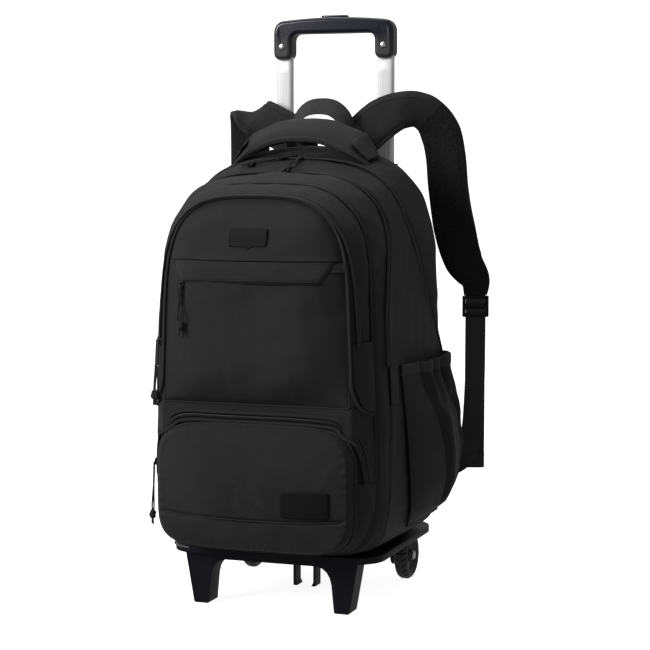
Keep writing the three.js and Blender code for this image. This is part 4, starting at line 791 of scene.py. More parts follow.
def make_pull_cord(name):
    """A loop of cord through the link, a knot that closes it and two short tails under the knot."""
    _, _, link, stretch = PULLS[name]
    station = pull_station(name)
    top = -link - CORD_START
    half = np.stack([CORD_LOOP[:, 0], np.full(len(CORD_LOOP), -CORD_PLANE), top - CORD_LOOP[:, 1] * stretch], -1)
    route = np.concatenate([half, half[-2::-1] * [-1, 1, 1]])
    path = in_station(station, spline(route, 97))
    ring = round_section(10) * CORD_DIAMETER / 2
    cord = solid(f"cord_{name}", [swept(path, station[2], ring)], finish("cord_braid"),
                 replaces=[f"pull_cord_{name}"])
    foot = top - CORD_LOOP[-1, 1] * stretch - KNOT_ROOM
    turn, rise = np.meshgrid(np.linspace(0, TURN, 28, endpoint=False), np.linspace(-1, 1, 33), indexing="xy")
    swell = np.sqrt(np.clip(1 - np.abs(rise) ** 2.6, 0, 1))
    lay = 1 + 0.13 * np.cos(3 * turn + 5 * rise) * swell
    radius = 0.0043 * swell * lay
    knot_points = np.stack([radius * np.cos(turn), -CORD_PLANE + radius * np.sin(turn) * 0.9, foot + rise * 0.0058], -1)
    knot = solid(f"knot_{name}", [in_station(station, knot_points)], finish("cord_braid"))
    tails = []
    for sign in (-1, 1):
        ends = np.array([[sign * 0.0009, 0, -0.003], [sign * 0.0024, 0, -0.007], [sign * 0.0038, 0.0004, -0.0118]])
        run = spline(ends + [0, -CORD_PLANE, foot], 16)
        tails.append(swept(in_station(station, run), station[2], ring))
    tail = solid(f"cord_tails_{name}", tails, finish("cord_braid"))
    tuple(path[0] + ORIGIN)
    (path + ORIGIN)[::3].tolist()


def make_slider(name):
    """A slider with a domed bridge over its body and a flat link that hangs from it."""
    _, _, link, _ = PULLS[name]
    station = pull_station(name)
    rows = []
    body = prism_rows(rounded_outline(0.0035, 0.0045, 0.0018), 0.0026, 0.0007)
    rows.append(np.stack([body[..., 0], -body[..., 2], body[..., 1]], -1))
    bridge = prism_rows(rounded_outline(0.0012, 0.0036, 0.001), 0.0018, 0.0006)
    rows.append(np.stack([bridge[..., 0], -0.0022 - bridge[..., 2], bridge[..., 1]], -1))
    plate = prism_rows(rounded_outline(0.0027, link / 2, 0.0016), LINK_THICKNESS, 0.0005)
    rows.append(np.stack([plate[..., 0], -(SLIDER_THICKNESS - LINK_SINK) - plate[..., 2], plate[..., 1] - link / 2], -1))
    grids = [in_station(station, row) for row in rows]
    solid(f"zip_slider_{name}", grids, finish("enamel"), replaces=[f"slider_{name}"])


# Cloth bands

def band_grid(front, rear, swell, angles, rows, seed, sink=(1.0, 1.0)):
    """A band of cloth between two sections. It carries soft waves, and sinks in towards its seams
    by a bell curve of the distance to them, where small puckers run across it."""
    share = 0.5 - 0.5 * np.cos(np.linspace(0, math.pi, rows))
    share = 0.6 * share + 0.4 * np.linspace(0, 1, rows)
    point = band_point(front, rear, angles[None, :], share[:, None], swell)
    width = np.linalg.norm(ring_point(front, angles) - ring_point(rear, angles), axis=-1)[None, :]
    first, second = share[:, None] * width, (1 - share[:, None]) * width
    near = np.maximum(np.exp(-(first / SEAM_REACH) ** 2) * sink[0], np.exp(-(second / SEAM_REACH) ** 2) * sink[1])
    closeness = np.exp(-np.minimum(first, second) / 0.011)
    waves = ripples(point, sizes().ripple, 0.11, seed) + ripples(point, sizes().ripple * 0.4, 0.035, seed + 1)
    puckers = ripples(point * [1, 0.25, 1], 0.00035, 0.012, seed + 2) * closeness
    out = unit(ring_outward(front, angles)[None] * (1 - share[:, None, None])
               + ring_outward(rear, angles)[None] * share[:, None, None])
    relief = (waves + puckers) * (1 - 0.8 * near) - sizes().seam_depth * near
    return point + out * relief[..., None]


def seam_path(ring, count=900, start=0.0, end=TURN, stand=0.0):
    angles = spread_angles(count, start, end)
    return ring_point(ring, angles) + ring_outward(ring, angles) * stand


def tube_grid(path, radius, sides=8, up=(0.31, 0.2, 0.93)):
    return swept(path, np.array(up), round_section(sides) * radius)


def piping(name, path, radius=None, material="nylon_pale"):
    """A round welt along a seam, by default in the nylon lightened as a painted highlight."""
    return solid(name, [tube_grid(path, radius or sizes().piping)], finish(material))


def zip_run(name, path, out, fold_offset=0.0052, edges=None, cover="nylon"):
    """A closed zip: a coil whose height rises and falls with its teeth, and the cloth's folded edge
    on either side of it. out is the direction away from the bag at each point of the path."""
    count = max(40, int(lengths_along(path)[-1] / 0.0009))
    spots = np.linspace(0, 1, count)
    base = np.linspace(0, 1, len(path))
    line = np.stack([np.interp(spots, base, path[:, i]) for i in range(3)], -1)
    away = unit(np.stack([np.interp(spots, base, out[:, i]) for i in range(3)], -1))
    teeth = 1 + 0.22 * np.sin(lengths_along(line) * TURN / sizes().zip_pitch)
    coil_ring = round_section(8, 3.0) * [sizes().zip_width / 2, 0.0007]
    coil_grid = swept(line - away * 0.0002, away, coil_ring, height=teeth)
    solid(f"{name}_coil", [coil_grid], finish("coil"))
    if edges is None:
        tangent = unit(np.gradient(line, axis=0))
        side = unit(np.cross(tangent, away))
        edges = [line + side * fold_offset * sign + away * 0.0002 for sign in (-1, 1)]
    fold_ring = round_section(8, 2.4) * [0.0021, 0.0013]
    solid(f"{name}_folds", [swept(edge, away if len(edge) == len(away) else np.array([0, 0, 1.0]), fold_ring)
                            for edge in edges], finish(cover))


def make_bag():
    """The bag's four bands, its front and lower panels, and the piping in its seams."""
    full = spread_angles(620)[:-1]
    middle = np.array([0, -0.02, BAG_BASE + 0.24])
    bands = [
        ("bag_rear_side", "main", "back", SWELL["rear"], 56, 11, (0.5, 1.0), "rear_gusset"),
        ("bag_main_side", "fold", "main", SWELL["main"], 64, 23, (0.9, 0.5), "main_gusset"),
        ("bag_second_side", "zip", "fold", SWELL["second"], 30, 31, (1.0, 0.8), "second_gusset"),
    ]
    for name, front, rear, swell, rows, seed, sink, node in bands:
        grid = band_grid(front, rear, swell, full, rows, seed, sink)
        skin(name, [grid], finish("nylon"), CLOTH, middle, replaces=[node], wrap=True)
    foot = angle_at("front", PANEL_SEAM)
    arch = spread_angles(620, foot, math.pi - foot)
    grid = band_grid("front", "zip", SWELL["front"], arch, 34, 41, (0.8, 1.0))
    skin("bag_front_side", [grid], finish("nylon"), CLOTH, middle, replaces=["front_gusset"])
    make_front_panel(foot)
    make_lower_front(foot)
    piping("piping_second", seam_path("zip", stand=-0.0004), 0.0014)
    piping("piping_back", seam_path("back", stand=-0.0002), 0.0018)


def panel_level(x, z, outline, centre):
    """How far out a place lies from a panel's centre, as a share of the way to its outline."""
    dx, dz = outline[:, 0] - centre[0], outline[:, 2] - centre[1]
    turn = np.arctan2(dz, dx)
    order = np.argsort(turn)
    reach = np.interp(np.arctan2(z - centre[1], x - centre[0]), turn[order], np.hypot(dx, dz)[order], period=TURN)
    return np.clip(np.hypot(x - centre[0], z - centre[1]) / reach, 0, 1)


FOLD_Z = 0.4115
FRONT_CENTRE = (0.0, BAG_BASE + 0.62 * BAG_HEIGHT)


def front_outline(foot):
    angles = spread_angles(700, foot, math.pi - foot)
    arch = ring_point("front", angles) - ring_outward("front", angles) * 0.0016
    bottom = np.linspace(arch[-1], arch[0], 80)[1:-1]
    return np.concatenate([arch, bottom])


def front_depth(x, z, outline):
    """Face of the front panel: a dome that falls off by the fourth power of the way to its sides,
    and of the way from its middle height to its top and foot."""
    right = outline[outline[:, 0] > 0]
    right = right[np.argsort(right[:, 2])]
    half = np.maximum(np.interp(z, right[:, 2], right[:, 0]), 1e-4)
    span = np.where(z > FRONT_CENTRE[1], outline[:, 2].max() - FRONT_CENTRE[1], FRONT_CENTRE[1] - PANEL_SEAM)
    sides = 1 - np.clip(np.abs(x) / half, 0, 1) ** 4
    ends = 1 - np.clip(np.abs(z - FRONT_CENTRE[1]) / span, 0, 1) ** 4
    return FRONT_PLANE - PANEL_BULGE * sides * ends


def make_front_panel(foot):
    """The front panel on a grid of rows across it. Its upper part ends in a folded edge that stands
    proud of the lower part, over the front zip."""
    outline = front_outline(foot)
    angles = spread_angles(210, foot, math.pi / 2)
    edge = ring_point("front", angles) - ring_outward("front", angles) * 0.0016
    extra = np.sort(np.concatenate([edge[:, 2], FOLD_Z + np.linspace(-0.0016, 0.0016, 9)]))
    half = np.interp(extra, edge[:, 2], edge[:, 0])
    half[-1] = 0.0
    side = np.linspace(-1, 1, 170)
    side = np.sin(side * math.pi / 2 * 0.85) / math.sin(math.pi / 2 * 0.85)
    x = half[:, None] * side[None, :]
    z = np.broadcast_to(extra[:, None], x.shape)
    y = front_depth(x, z, outline)
    point = np.stack([x, y, z], -1)
    level = panel_level(x, z, outline, FRONT_CENTRE)
    rim = np.exp(-((1 - level) * 0.11 / 0.004) ** 2)
    relief = ripples(point, 0.0013, 0.1, 51) + ripples(point, 0.0004, 0.035, 52)
    step = smooth(FOLD_Z - 0.0004, FOLD_Z + 0.0004, z)
    proud = 0.0018 * step * np.exp(-(z - FOLD_Z) / 0.03) + 0.0006 * step * np.exp(-((z - FOLD_Z - 0.002) / 0.002) ** 2)
    trough = 0.0022 * (1 - step) * np.exp(-((FOLD_Z - z) / 0.009) ** 2)
    point[..., 1] += -relief * (1 - rim) - (proud - trough) * (1 - rim) + 0.0016 * rim
    skin("front_panel_cloth", [point], finish("nylon"), CLOTH, (0, 0, 0.3), replaces=["front_panel"])
    path = seam_path("front", 620, foot + 0.004, math.pi - foot - 0.004, 0.0004)
    low = np.array([[0.1157, -0.1562, 0.2694], [0.1185, -0.1535, 0.2585], [0.1226, -0.149, 0.2483],
                    [0.1268, -0.1425, 0.2425], [0.131, -0.135, 0.2393], [0.1322, -0.129, 0.238]])
    above = path[path[:, 2] > 0.285]
    right = spline(np.concatenate([low[::-1], above[:1], above[25:26]]), 90)[:80]
    joined = np.concatenate([right[:-8], above[6:-6], (right * [-1, 1, 1])[::-1][8:]])
    piping("piping_front", resampled(joined, 760), 0.0019)
    ledge = np.stack([np.linspace(-0.113, 0.113, 160), np.full(160, FRONT_PLANE + 0.0002), np.full(160, PANEL_SEAM)], -1)
    piping("piping_panel_foot", ledge, 0.0012, "nylon")


def make_lower_front(foot):
    """The cloth behind the lower pocket: flat in front, then round the corner to the side seam."""
    angles = spread_angles(420, -math.pi - foot, foot)
    edge = ring_point("front", angles)
    centre = np.array([0, FRONT_PLANE, PANEL_SEAM])
    flat = centre + np.linspace(0, 0.96, 40)[:, None, None] * (edge - centre)[None]
    share = np.linspace(0, 1, 26)
    side = band_point("front", "zip", angles[None, :], share[:, None], SWELL["front"])
    point = np.concatenate([flat, side])
    point[..., 2] = np.minimum(point[..., 2], PANEL_SEAM)
    point[40:, :, :] += unit(ring_outward("front", angles))[None] * ripples(point[40:], 0.0009, 0.07, 61)[..., None]
    skin("lower_front_cloth", [point], finish("nylon"), CLOTH, (0, 0, 0.15), replaces=["lower_front_panel"])


def pocket_outline(count=480, grow=0.0):
    angle = np.linspace(0, TURN, 6001)
    x = (POCKET_HALF_WIDTH + grow) * signed_power(np.cos(angle), 2 / POCKET_SQUARE)
    z = POCKET_CENTRE + (POCKET_HALF_HEIGHT + grow) * signed_power(np.sin(angle), 2 / POCKET_SQUARE)
    return resampled(np.stack([x, np.zeros_like(x), z], -1), count + 1)[:-1]


def pocket_depth(x, z):
    """Face of the lower pocket inside its rim: a dome that falls off by the cube of the way to its
    sides and to its top and foot."""
    sides = 1 - np.clip(np.abs(x) / POCKET_HALF_WIDTH, 0, 1) ** 3.4
    ends = 1 - np.clip(np.abs(z - POCKET_CENTRE) / POCKET_HALF_HEIGHT, 0, 1) ** 3
    return FRONT_PLANE - CLOTH - 0.0003 - POCKET_RIM - (POCKET_BULGE - POCKET_RIM) * sides * ends


def make_lower_pocket():
    """The puffed lower pocket: rings from its middle to its edge, domed by the third power of the
    way out, with a steep rolled rim and one seam across it low down."""
    outline = pocket_outline()
    centre = np.array([0, 0, POCKET_CENTRE])
    t = np.linspace(0, 1, 88)
    level = 1 - (1 - t) ** 1.8
    point = centre + level[:, None, None] * (outline - centre)[None]
    flat = level[:, None] * np.ones(len(outline))[None]
    rim = POCKET_RIM * np.clip((1 - flat) / 0.05, 0, 1) ** 0.5
    depth = pocket_depth(point[..., 0], point[..., 2]) + POCKET_RIM - rim
    seam_z = 0.117 + 0.004 * (point[..., 0] / 0.12) ** 2
    away = point[..., 2] - seam_z
    inner = 1 - smooth(0.9, 0.985, flat)
    groove = 0.0020 * np.exp(-(away / 0.0020) ** 2) + 0.0008 * np.exp(-(np.abs(away) / 0.012))
    point[..., 1] = depth
    waves = ripples(point, 0.0010, 0.085, 71) + ripples(point, 0.0003, 0.03, 72)
    gather = 0.0003 * np.sin(np.arctan2(point[..., 2] - POCKET_CENTRE, point[..., 0]) * 64) * smooth(0.85, 0.97, flat)
    point[..., 1] -= (waves - groove) * inner + gather * (1 - smooth(0.97, 1, flat))
    skin("lower_pocket_cloth", [point], finish("nylon"), CLOTH, (0, 0, POCKET_CENTRE),
         replaces=["lower_pocket"], wrap=True)
    ring = pocket_outline(520, 0.0006) + [0, FRONT_PLANE - 0.0016, 0]
    piping("piping_pocket", np.concatenate([ring, ring[:1]]), 0.0015)
    x = np.linspace(-0.112, 0.112, 140)
    z = 0.117 + 0.004 * (x / 0.12) ** 2
    piping("piping_pocket_seam", np.stack([x, pocket_depth(x, z) + 0.0014, z], -1)[4:-4], 0.0008)


def make_back_panel():
    """The padded back: three soft pads with sewn channels between them."""
    angles = spread_angles(400)[:-1]
    outline = ring_point("back", angles) - ring_outward("back", angles) * 0.0022
    centre = np.array([0, 0, BAG_BASE + 0.5 * BAG_HEIGHT])
    level = np.linspace(0, 1, 84)
    point = centre + level[:, None, None] * (outline - centre)[None]
    share = (point[..., 2] - BAG_BASE) / BAG_HEIGHT
    lean = RINGS["back"]["high"] * BAG_DEPTH * smooth(0.555, 0.87, share)
    flat = level[:, None] * np.ones(point.shape[1])[None]
    base = BAG_BACK - lean - 0.006 + 0.0045 * (1 - flat ** 4)
    x, z = point[..., 0], point[..., 2]
    lines = [np.abs(x) + 0.02 * smooth(0.40, 0.43, z), np.abs(z - 0.405 - 0.25 * np.abs(x)), np.abs(z - 0.20 + 0.1 * np.abs(x))]
    channel = sum(np.exp(-(line / 0.006) ** 2) for line in lines)
    edge = np.exp(-((1 - flat) * 0.13 / 0.006) ** 2)
    pads = 0.0035 * (1 - np.clip(channel + edge, 0, 1))
    point[..., 1] = base + pads - 0.0005
    waves = ripples(point, 0.0005, 0.05, 81)
    point[..., 1] += waves
    made = skin("back_pad", [point], finish("lining"), 0.003, (0, 0, 0.3), replaces=["back_panel"], wrap=True)


# Side pockets

# Rows from foot to hem: share of the height, how far it stands off, front edge as a share of the depth
SIDE_POCKET_ROWS = np.array([
    [0, 0, 0.54], [0.1, 0.55, 0.555], [0.25, 0.86, 0.585], [0.45, 1, 0.62],
    [0.65, 0.9, 0.645], [0.82, 0.66, 0.67], [0.91, 0.5, 0.68], [1, 0.46, 0.69],
])
SIDE_POCKET_FOOT = 0.024
SIDE_POCKET_HEIGHT = 0.196
SIDE_POCKET_BULGE = 0.031
RUFFLES = 9


def side_of_bag(y, z):
    """How far out the bag's side lies at a depth and a height, read between its sections there."""
    angle = angle_at("main", z)
    fold, main, back = (ring_point(ring, angle) for ring in ("fold", "main", "back"))
    ahead = y < main[..., 1]
    start = np.where(ahead[..., None], fold, main)
    end = np.where(ahead[..., None], main, back)
    swell = np.where(ahead, SWELL["main"], SWELL["rear"])
    share = (y - start[..., 1]) / (end[..., 1] - start[..., 1])
    width = np.linalg.norm(end - start, axis=-1)
    return start[..., 0] + (end[..., 0] - start[..., 0]) * share + swell * width * np.sin(math.pi * share)


def side_pocket_point(side, rise, share, lift=0.0):
    """A place on a side pocket's wall: the bag's side plus a bulge across the pocket, gathered into
    ruffles towards the hem, with two long soft folds down it."""
    rise, share = np.broadcast_arrays(rise, share)
    stand = np.interp(rise, SIDE_POCKET_ROWS[:, 0], SIDE_POCKET_ROWS[:, 1])
    ahead = np.interp(rise, SIDE_POCKET_ROWS[:, 0], SIDE_POCKET_ROWS[:, 2])
    z = BAG_BASE + SIDE_POCKET_FOOT + rise * SIDE_POCKET_HEIGHT
    front = BAG_BACK - ahead * BAG_DEPTH
    y = front + (BAG_BACK - 0.007 - front) * share
    fullness = np.sin(math.pi * np.clip(share, 0, 1) ** 1.3) ** 0.6
    fullness = np.nan_to_num(fullness)
    gathered = smooth(0.45, 1, rise) * smooth(0.22, 0.4, share) * fullness
    phase = RUFFLES * share + 0.35 * np.sin(7 * share) + 0.25 * np.sin(3 * rise + 4 * share)
    ruffle = gathered * 0.0042 * np.cos(TURN * phase)
    folds = 0.0
    for rows, depth in (
        (((0, 0.52), (0.3, 0.44), (0.62, 0.36), (1, 0.22)), 0.006),
        (((0, 0.80), (0.3, 0.78), (0.7, 0.66), (1, 0.5)), 0.0055),
    ):
        table = np.array(rows)
        line = np.interp(rise, table[:, 0], table[:, 1])
        away = (share - line) * 0.16
        folds = folds - depth * (np.exp(-(away / 0.005) ** 2) - 0.55 * np.exp(-((away - 0.011) / 0.008) ** 2)) * fullness
    out = CLOTH + 0.0008 + stand * SIDE_POCKET_BULGE * fullness + ruffle + folds * smooth(0.02, 0.2, rise) + lift
    plain = np.stack([side_of_bag(y, z) + out, y + 0.1 * share * out, z], -1)
    plain[..., 0] += ripples(plain, 0.0008, 0.05, 91) * smooth(0, 0.15, rise) * fullness
    return plain * [side, 1, 1]


def make_side_pocket(side, name):
    """A gathered side pocket with an elastic hem."""
    rise = np.linspace(0, 1, 130)[:, None]
    share = np.linspace(0, 1, 190)[None, :]
    wall = side_pocket_point(side, rise, share)
    skin(f"side_pocket_{name}_cloth", [wall], finish("nylon"), 0.0014, (0, 0.0, 0.17),
         replaces=[f"side_pocket_{name}"])
    path = side_pocket_point(side, np.array([0.972]), np.linspace(0.0, 1, 420), 0.0004)
    ring = round_section(12, 3.2) * [0.0068, 0.0014]
    out = np.broadcast_to(np.array([side, -0.15, 0.0]), path.shape)
    solid(f"side_pocket_{name}_hem", [swept(path, out, ring)], finish("webbing"))
    edge = side_pocket_point(side, np.linspace(0.0, 1, 200), np.array([0.004]), 0.0)
    piping(f"side_pocket_{name}_seam", edge, 0.0011, "nylon")
    low = side_pocket_point(side, np.array([0.0]), np.linspace(0, 1, 200), 0.0002)
    piping(f"side_pocket_{name}_foot", low, 0.0012, "nylon")


# Straps, handle and webbing

# Rows of a strap: out in half widths, ahead of the back in depths, up in heights, the direction
# across it (three numbers), and its width and thickness as shares
STRAP_ROUTES = {
    "right": np.array([
        [0.26, 0.066, 0.985, 1, 0, 0, 1, 0.5],
        [0.27, 0.064, 1.01, 1, 0, -0.15, 1, 0.8],
        [0.35, 0.058, 1.036, 0.8, 0, -0.6, 1, 1],
        [0.48, 0.05, 1.07, 0.66, 0, -0.75, 1, 1],
        [0.64, 0.04, 1.093, 0.48, 0.1, -0.86, 0.88, 1],
        [0.79, 0.016, 1.096, 0.1, 0.2, -0.96, 0.84, 1],
        [0.9, -0.008, 1.073, -0.4, 0.2, -0.88, 0.9, 1],
        [0.965, -0.03, 1.035, -0.65, 0.2, -0.7, 1, 1],
        [0.995, -0.055, 0.982, -0.92, 0.15, -0.35, 1, 1],
        [1.015, -0.077, 0.887, -0.97, 0.1, -0.18, 1, 1],
        [1.06, -0.095, 0.79, -0.97, 0, -0.2, 1, 1],
        [1.135, -0.112, 0.7, -0.93, -0.2, -0.3, 0.92, 0.9],
        [1.235, -0.12, 0.65, -0.94, -0.3, -0.1, 0.7, 0.6],
        [1.24, -0.12, 0.61, -0.94, -0.34, 0, 0.55, 0.4],
    ]),
    "left": np.array([
        [-0.26, 0.066, 0.985, 1, 0, 0, 1, 0.5],
        [-0.27, 0.064, 1.01, 1, 0, 0.15, 1, 0.8],
        [-0.36, 0.058, 1.034, 0.8, 0, 0.6, 1, 1],
        [-0.51, 0.05, 1.058, 0.78, 0, 0.55, 1, 1],
        [-0.655, 0.033, 1.076, 0.95, 0, 0.26, 1, 1],
        [-0.745, 0.002, 1.08, 1, 0, 0.06, 1, 1],
        [-0.78, -0.036, 1.06, 1, 0, 0.02, 1, 1],
        [-0.8, -0.062, 1.0, 1, 0, 0, 1, 1],
        [-0.81, -0.08, 0.89, 1, 0, 0, 1, 1],
        [-0.81, -0.095, 0.78, 1, 0, 0, 1, 1],
        [-0.81, -0.108, 0.7, 1, 0, 0, 0.92, 0.9],
        [-0.81, -0.115, 0.65, 1, 0, 0, 0.7, 0.6],
        [-0.81, -0.118, 0.61, 1, 0, 0, 0.55, 0.4],
    ]),
}
STRAP_WIDTH = 0.052
STRAP_THICKNESS = 0.013
WEBBING_WIDTH = 0.025
WEBBING_THICKNESS = 0.0018
LOCK_WIDTH = 0.033
LOCK_HEIGHT = 0.027
LOCK_BAR = 0.004
LOCK_THICKNESS = 0.005
LOCK_TURN = {"left": 0.0, "right": 0.35}
LOCK_ROOM = {"left": 0.0004, "right": 0.0008}
SEAT_GAP = 0.0003
SIGN = {"left": -1, "right": 1}
# Share along the right strap past which its outer faces take the dark lining finish and its inner faces the nylon, so
# that end is darker
RIGHT_DARK_SHARE = 0.44


def bag_spot(out, ahead, up):
    return np.stack([out * BAG_HALF_WIDTH, BAG_BACK - ahead * BAG_DEPTH, BAG_BASE + up * BAG_HEIGHT], -1)


def top_table():
    """Points of the bag's upper cloth, close together, to read the height of its top from."""
    angles = np.linspace(0.02, math.pi - 0.02, 700)
    share = np.linspace(0, 1, 50)[:, None]
    return np.concatenate([
        band_point(front, rear, angles[None, :], share, swell).reshape(-1, 3)
        for front, rear, swell in (("main", "back", SWELL["rear"]), ("fold", "main", SWELL["main"]),
                                   ("zip", "fold", SWELL["second"]))
    ])


TOP_TABLE = top_table()


def top_of_bag(x, y):
    """Height of the bag's top at places across and from front to back: the nearest table points'."""
    spots = np.stack([np.atleast_1d(x), np.broadcast_to(y, np.shape(np.atleast_1d(x)))], -1)
    gap = np.sum((TOP_TABLE[None, :, :2] - spots[:, None]) ** 2, -1)
    near = np.argpartition(gap, 6, axis=1)[:, :6]
    return np.take(TOP_TABLE[:, 2], near).mean(1)


def band_frames(path, across):
    """Directions of a flat band along its path: across as given but square to the path, and the way
    its face looks."""
    along = unit(np.gradient(path, axis=0))
    across = unit(across - along * np.sum(across * along, -1, keepdims=True))
    return across, np.cross(along, across)


def carried(path, across, section, width, thickness, shift=(0.0, 0.0)):
    """A section carried along a path: its first number goes across by half the width, its second out
    of the face by half the thickness. The shift is in metres, across and out."""
    side, face = band_frames(path, across)
    half_width = (np.broadcast_to(width, (len(path),)) / 2)[:, None, None]
    half_thick = (np.broadcast_to(thickness, (len(path),)) / 2)[:, None, None]
    return (path[:, None] + side[:, None] * (section[None, :, :1] * half_width + shift[0])
            + face[:, None] * (section[None, :, 1:] * half_thick + shift[1]))


def pad_section(count=22):
    """A padded band: its two faces fall from full thickness to a third of it at the edges, by the
    fourth power of the way out."""
    u = np.sin(np.linspace(-1, 1, count) * math.pi / 2)
    face = 0.3 + 0.66 * (1 - np.abs(u) ** 4)
    return np.concatenate([np.stack([u, -face], -1), np.stack([u, face], -1)[::-1]])


def strap_rows(side, count=200):
    route = STRAP_ROUTES[side]
    spots = bag_spot(route[:, 0], route[:, 1], route[:, 2])
    inner = abs(spots[0, 0]) - STRAP_WIDTH / 2
    spots[0, 2] = top_of_bag(inner, spots[0, 1] - STRAP_THICKNESS / 4)[0] - 0.0017
    path = spline(spots, count)
    across = spline(route[:, 3:6], count)
    spread = np.linspace(0, len(route) - 1, count)
    index = np.arange(len(route))
    broad = np.interp(spread, index, route[:, 6]) * STRAP_WIDTH
    thick = np.interp(spread, index, route[:, 7]) * STRAP_THICKNESS
    return path, across, broad, thick


def make_strap(side):
    """A padded shoulder strap with a bound edge on both sides and a row of stitches beside each."""
    path, across, broad, thick = strap_rows(side)
    section = pad_section()
    grid = carried(path, across, section, broad * 0.985, thick)
    waves = ripples(grid, 0.0007, 0.045, 101 if side == "left" else 103)
    middle = grid.mean(1, keepdims=True)
    grid = grid + unit(grid - middle) * waves[..., None]
    made = solid(f"shoulder_strap_{side}_pad", [grid], finish("nylon"),
                 replaces=[f"shoulder_strap_{side}"])
    made.data.materials.append(finish("lining"))
    side_way, face = band_frames(path, across)
    normals = np.empty(len(made.data.polygons) * 3)
    centres = np.empty(len(made.data.polygons) * 3)
    made.data.polygons.foreach_get("normal", normals)
    made.data.polygons.foreach_get("center", centres)
    centres = centres.reshape(-1, 3) - ORIGIN
    nearest = np.argmin(np.sum((centres[:, None] - path[None]) ** 2, -1), 1)
    looks = np.sum(normals.reshape(-1, 3) * face[nearest], -1)
    # On the right strap's far end the finishes swap sides, so its outer face there is dark
    if side == "right":
        looks = np.where(nearest / len(path) > RIGHT_DARK_SHARE, -looks, looks)
    made.data.polygons.foreach_set("material_index", (looks > 0.3).astype(np.int32))
    ring = round_section(12, 2.8)
    edges = []
    lanes = []
    for sign in (-1, 1):
        line = path + side_way * (sign * (broad / 2 - 0.0026))[:, None]
        edges.append(carried(line, across, ring, 0.0056, thick * 0.34 + 0.0012))
        lanes.append(path + side_way * (sign * (broad / 2 - 0.0075))[:, None] - face * (thick * 0.44)[:, None])
    # The bound edges are in the nylon lightened as a painted highlight
    solid(f"shoulder_strap_{side}_binding", edges, finish("nylon_pale"))
    stitches(f"shoulder_strap_{side}_stitches", lanes, -face)


def stitches(name, lines, out, body="bag"):
    """Rows of stitches: each a short rounded bar that dips into the cloth at both ends."""
    bars = []
    for line in lines:
        reach = lengths_along(line)[-1]
        count = max(3, int(reach / sizes().stitch))
        ends = np.linspace(0, 1, count * 4 + 1)
        base = np.linspace(0, 1, len(line))
        run = np.stack([np.interp(ends, base, line[:, i]) for i in range(3)], -1)
        away = np.broadcast_to(out, line.shape) if np.ndim(out) == 1 else out
        way = unit(np.stack([np.interp(ends, base, away[:, i]) for i in range(3)], -1))
        rise = np.tile([0.0, 1.0, 1.0, 0.0], count)
        spot = (np.arange(count)[:, None] * 4 + np.array([0.35, 1.0, 2.6, 3.3])[None]).ravel() / (count * 4)
        run = np.stack([np.interp(spot, ends, run[:, i]) for i in range(3)], -1)
        way = unit(np.stack([np.interp(spot, ends, way[:, i]) for i in range(3)], -1))
        run = run + way * (rise * 0.0004 - 0.00025)[:, None]
        grid = swept(run, way, round_section(5) * 0.00032)
        bars += [grid[i * 4:(i + 1) * 4] for i in range(count)]
    bundle(name, bars, finish("webbing"), body)


def bundle(name, grids, material, body):
    """Many small closed tubes of one size in one mesh."""
    stack = np.stack(grids)
    count, rows, columns = stack.shape[:3]
    row, column = np.meshgrid(np.arange(rows - 1), np.arange(columns), indexing="ij")
    corners = ((row, column), (row, column + 1), (row + 1, column + 1), (row + 1, column))
    quads = np.stack([a * columns + b % columns for a, b in corners], -1).reshape(-1, 4)
    quads = (quads[None] + np.arange(count)[:, None, None] * rows * columns).reshape(-1, 4).tolist()
    low = np.arange(columns)[::-1]
    high = (rows - 1) * columns + np.arange(columns)
    caps = (np.stack([low, high])[None] + np.arange(count)[:, None, None] * rows * columns).reshape(-1, columns).tolist()
    mesh = bpy.data.meshes.new(name)
    mesh.from_pydata((stack.reshape(-1, 3) + ORIGIN).tolist(), [], quads + caps)
    mesh.uv_layers.new(name="cloth")
    mesh.polygons.foreach_set("use_smooth", np.ones(len(mesh.polygons), bool))
    tidy_mesh(mesh, True)
    return piece(name, mesh, material, body)


def flat_section():
    return round_section(20, 5.0)


def make_lock(side):
    """A ladder lock: a frame with three bars, and the strap's end loop round its upper bar."""
    end = STRAP_ROUTES[side][-1]
    spot = bag_spot(end[0], end[1], end[2]) - [0, 0, LOCK_HEIGHT / 2 + LOCK_ROOM[side]]
    turn = LOCK_TURN[side]
    across = np.array([math.cos(turn), math.sin(turn), 0])
    out = np.array([-math.sin(turn), math.cos(turn), 0])
    grids = []
    rail = round_section(12, 3.0)
    for level in (-1, 0, 1):
        reach = np.linspace(-1, 1, 9)[:, None] * (LOCK_WIDTH / 2 - LOCK_BAR * 0.4)
        line = spot + across * reach + np.array([0, 0, level * (LOCK_HEIGHT - LOCK_BAR) / 2])
        line = line + out * (0.0006 * level)
        grids.append(swept(line, out, rail * [LOCK_BAR / 2, LOCK_THICKNESS / 2 * 0.9]))
    for sign in (-1, 1):
        rise = np.linspace(-1, 1, 15)[:, None] * (LOCK_HEIGHT / 2 - 0.0006)
        line = spot + across * sign * (LOCK_WIDTH / 2 - LOCK_BAR / 2) + np.array([0, 0, 1.0]) * rise
        grids.append(swept(line, out, rail * [LOCK_BAR / 2, LOCK_THICKNESS / 2]))
    solid(f"ladder_lock_{side}_frame", grids, finish("moulded"), replaces=[f"ladder_lock_{side}"])
    rise = np.linspace(0.021, -0.0128, 40)[:, None]
    weave = np.cos(np.minimum(rise, 0.0128) / 0.0128 * 2 * math.pi)
    line = spot + np.array([0, 0, 1.0]) * rise + out * 0.0012 * weave
    strip = carried(line, np.broadcast_to(across, line.shape), flat_section(), WEBBING_WIDTH, WEBBING_THICKNESS)
    solid(f"ladder_lock_{side}_webbing", [strip], finish("webbing"))
    return spot + [0, 0, -LOCK_HEIGHT / 2 - SEAT_GAP], across, out


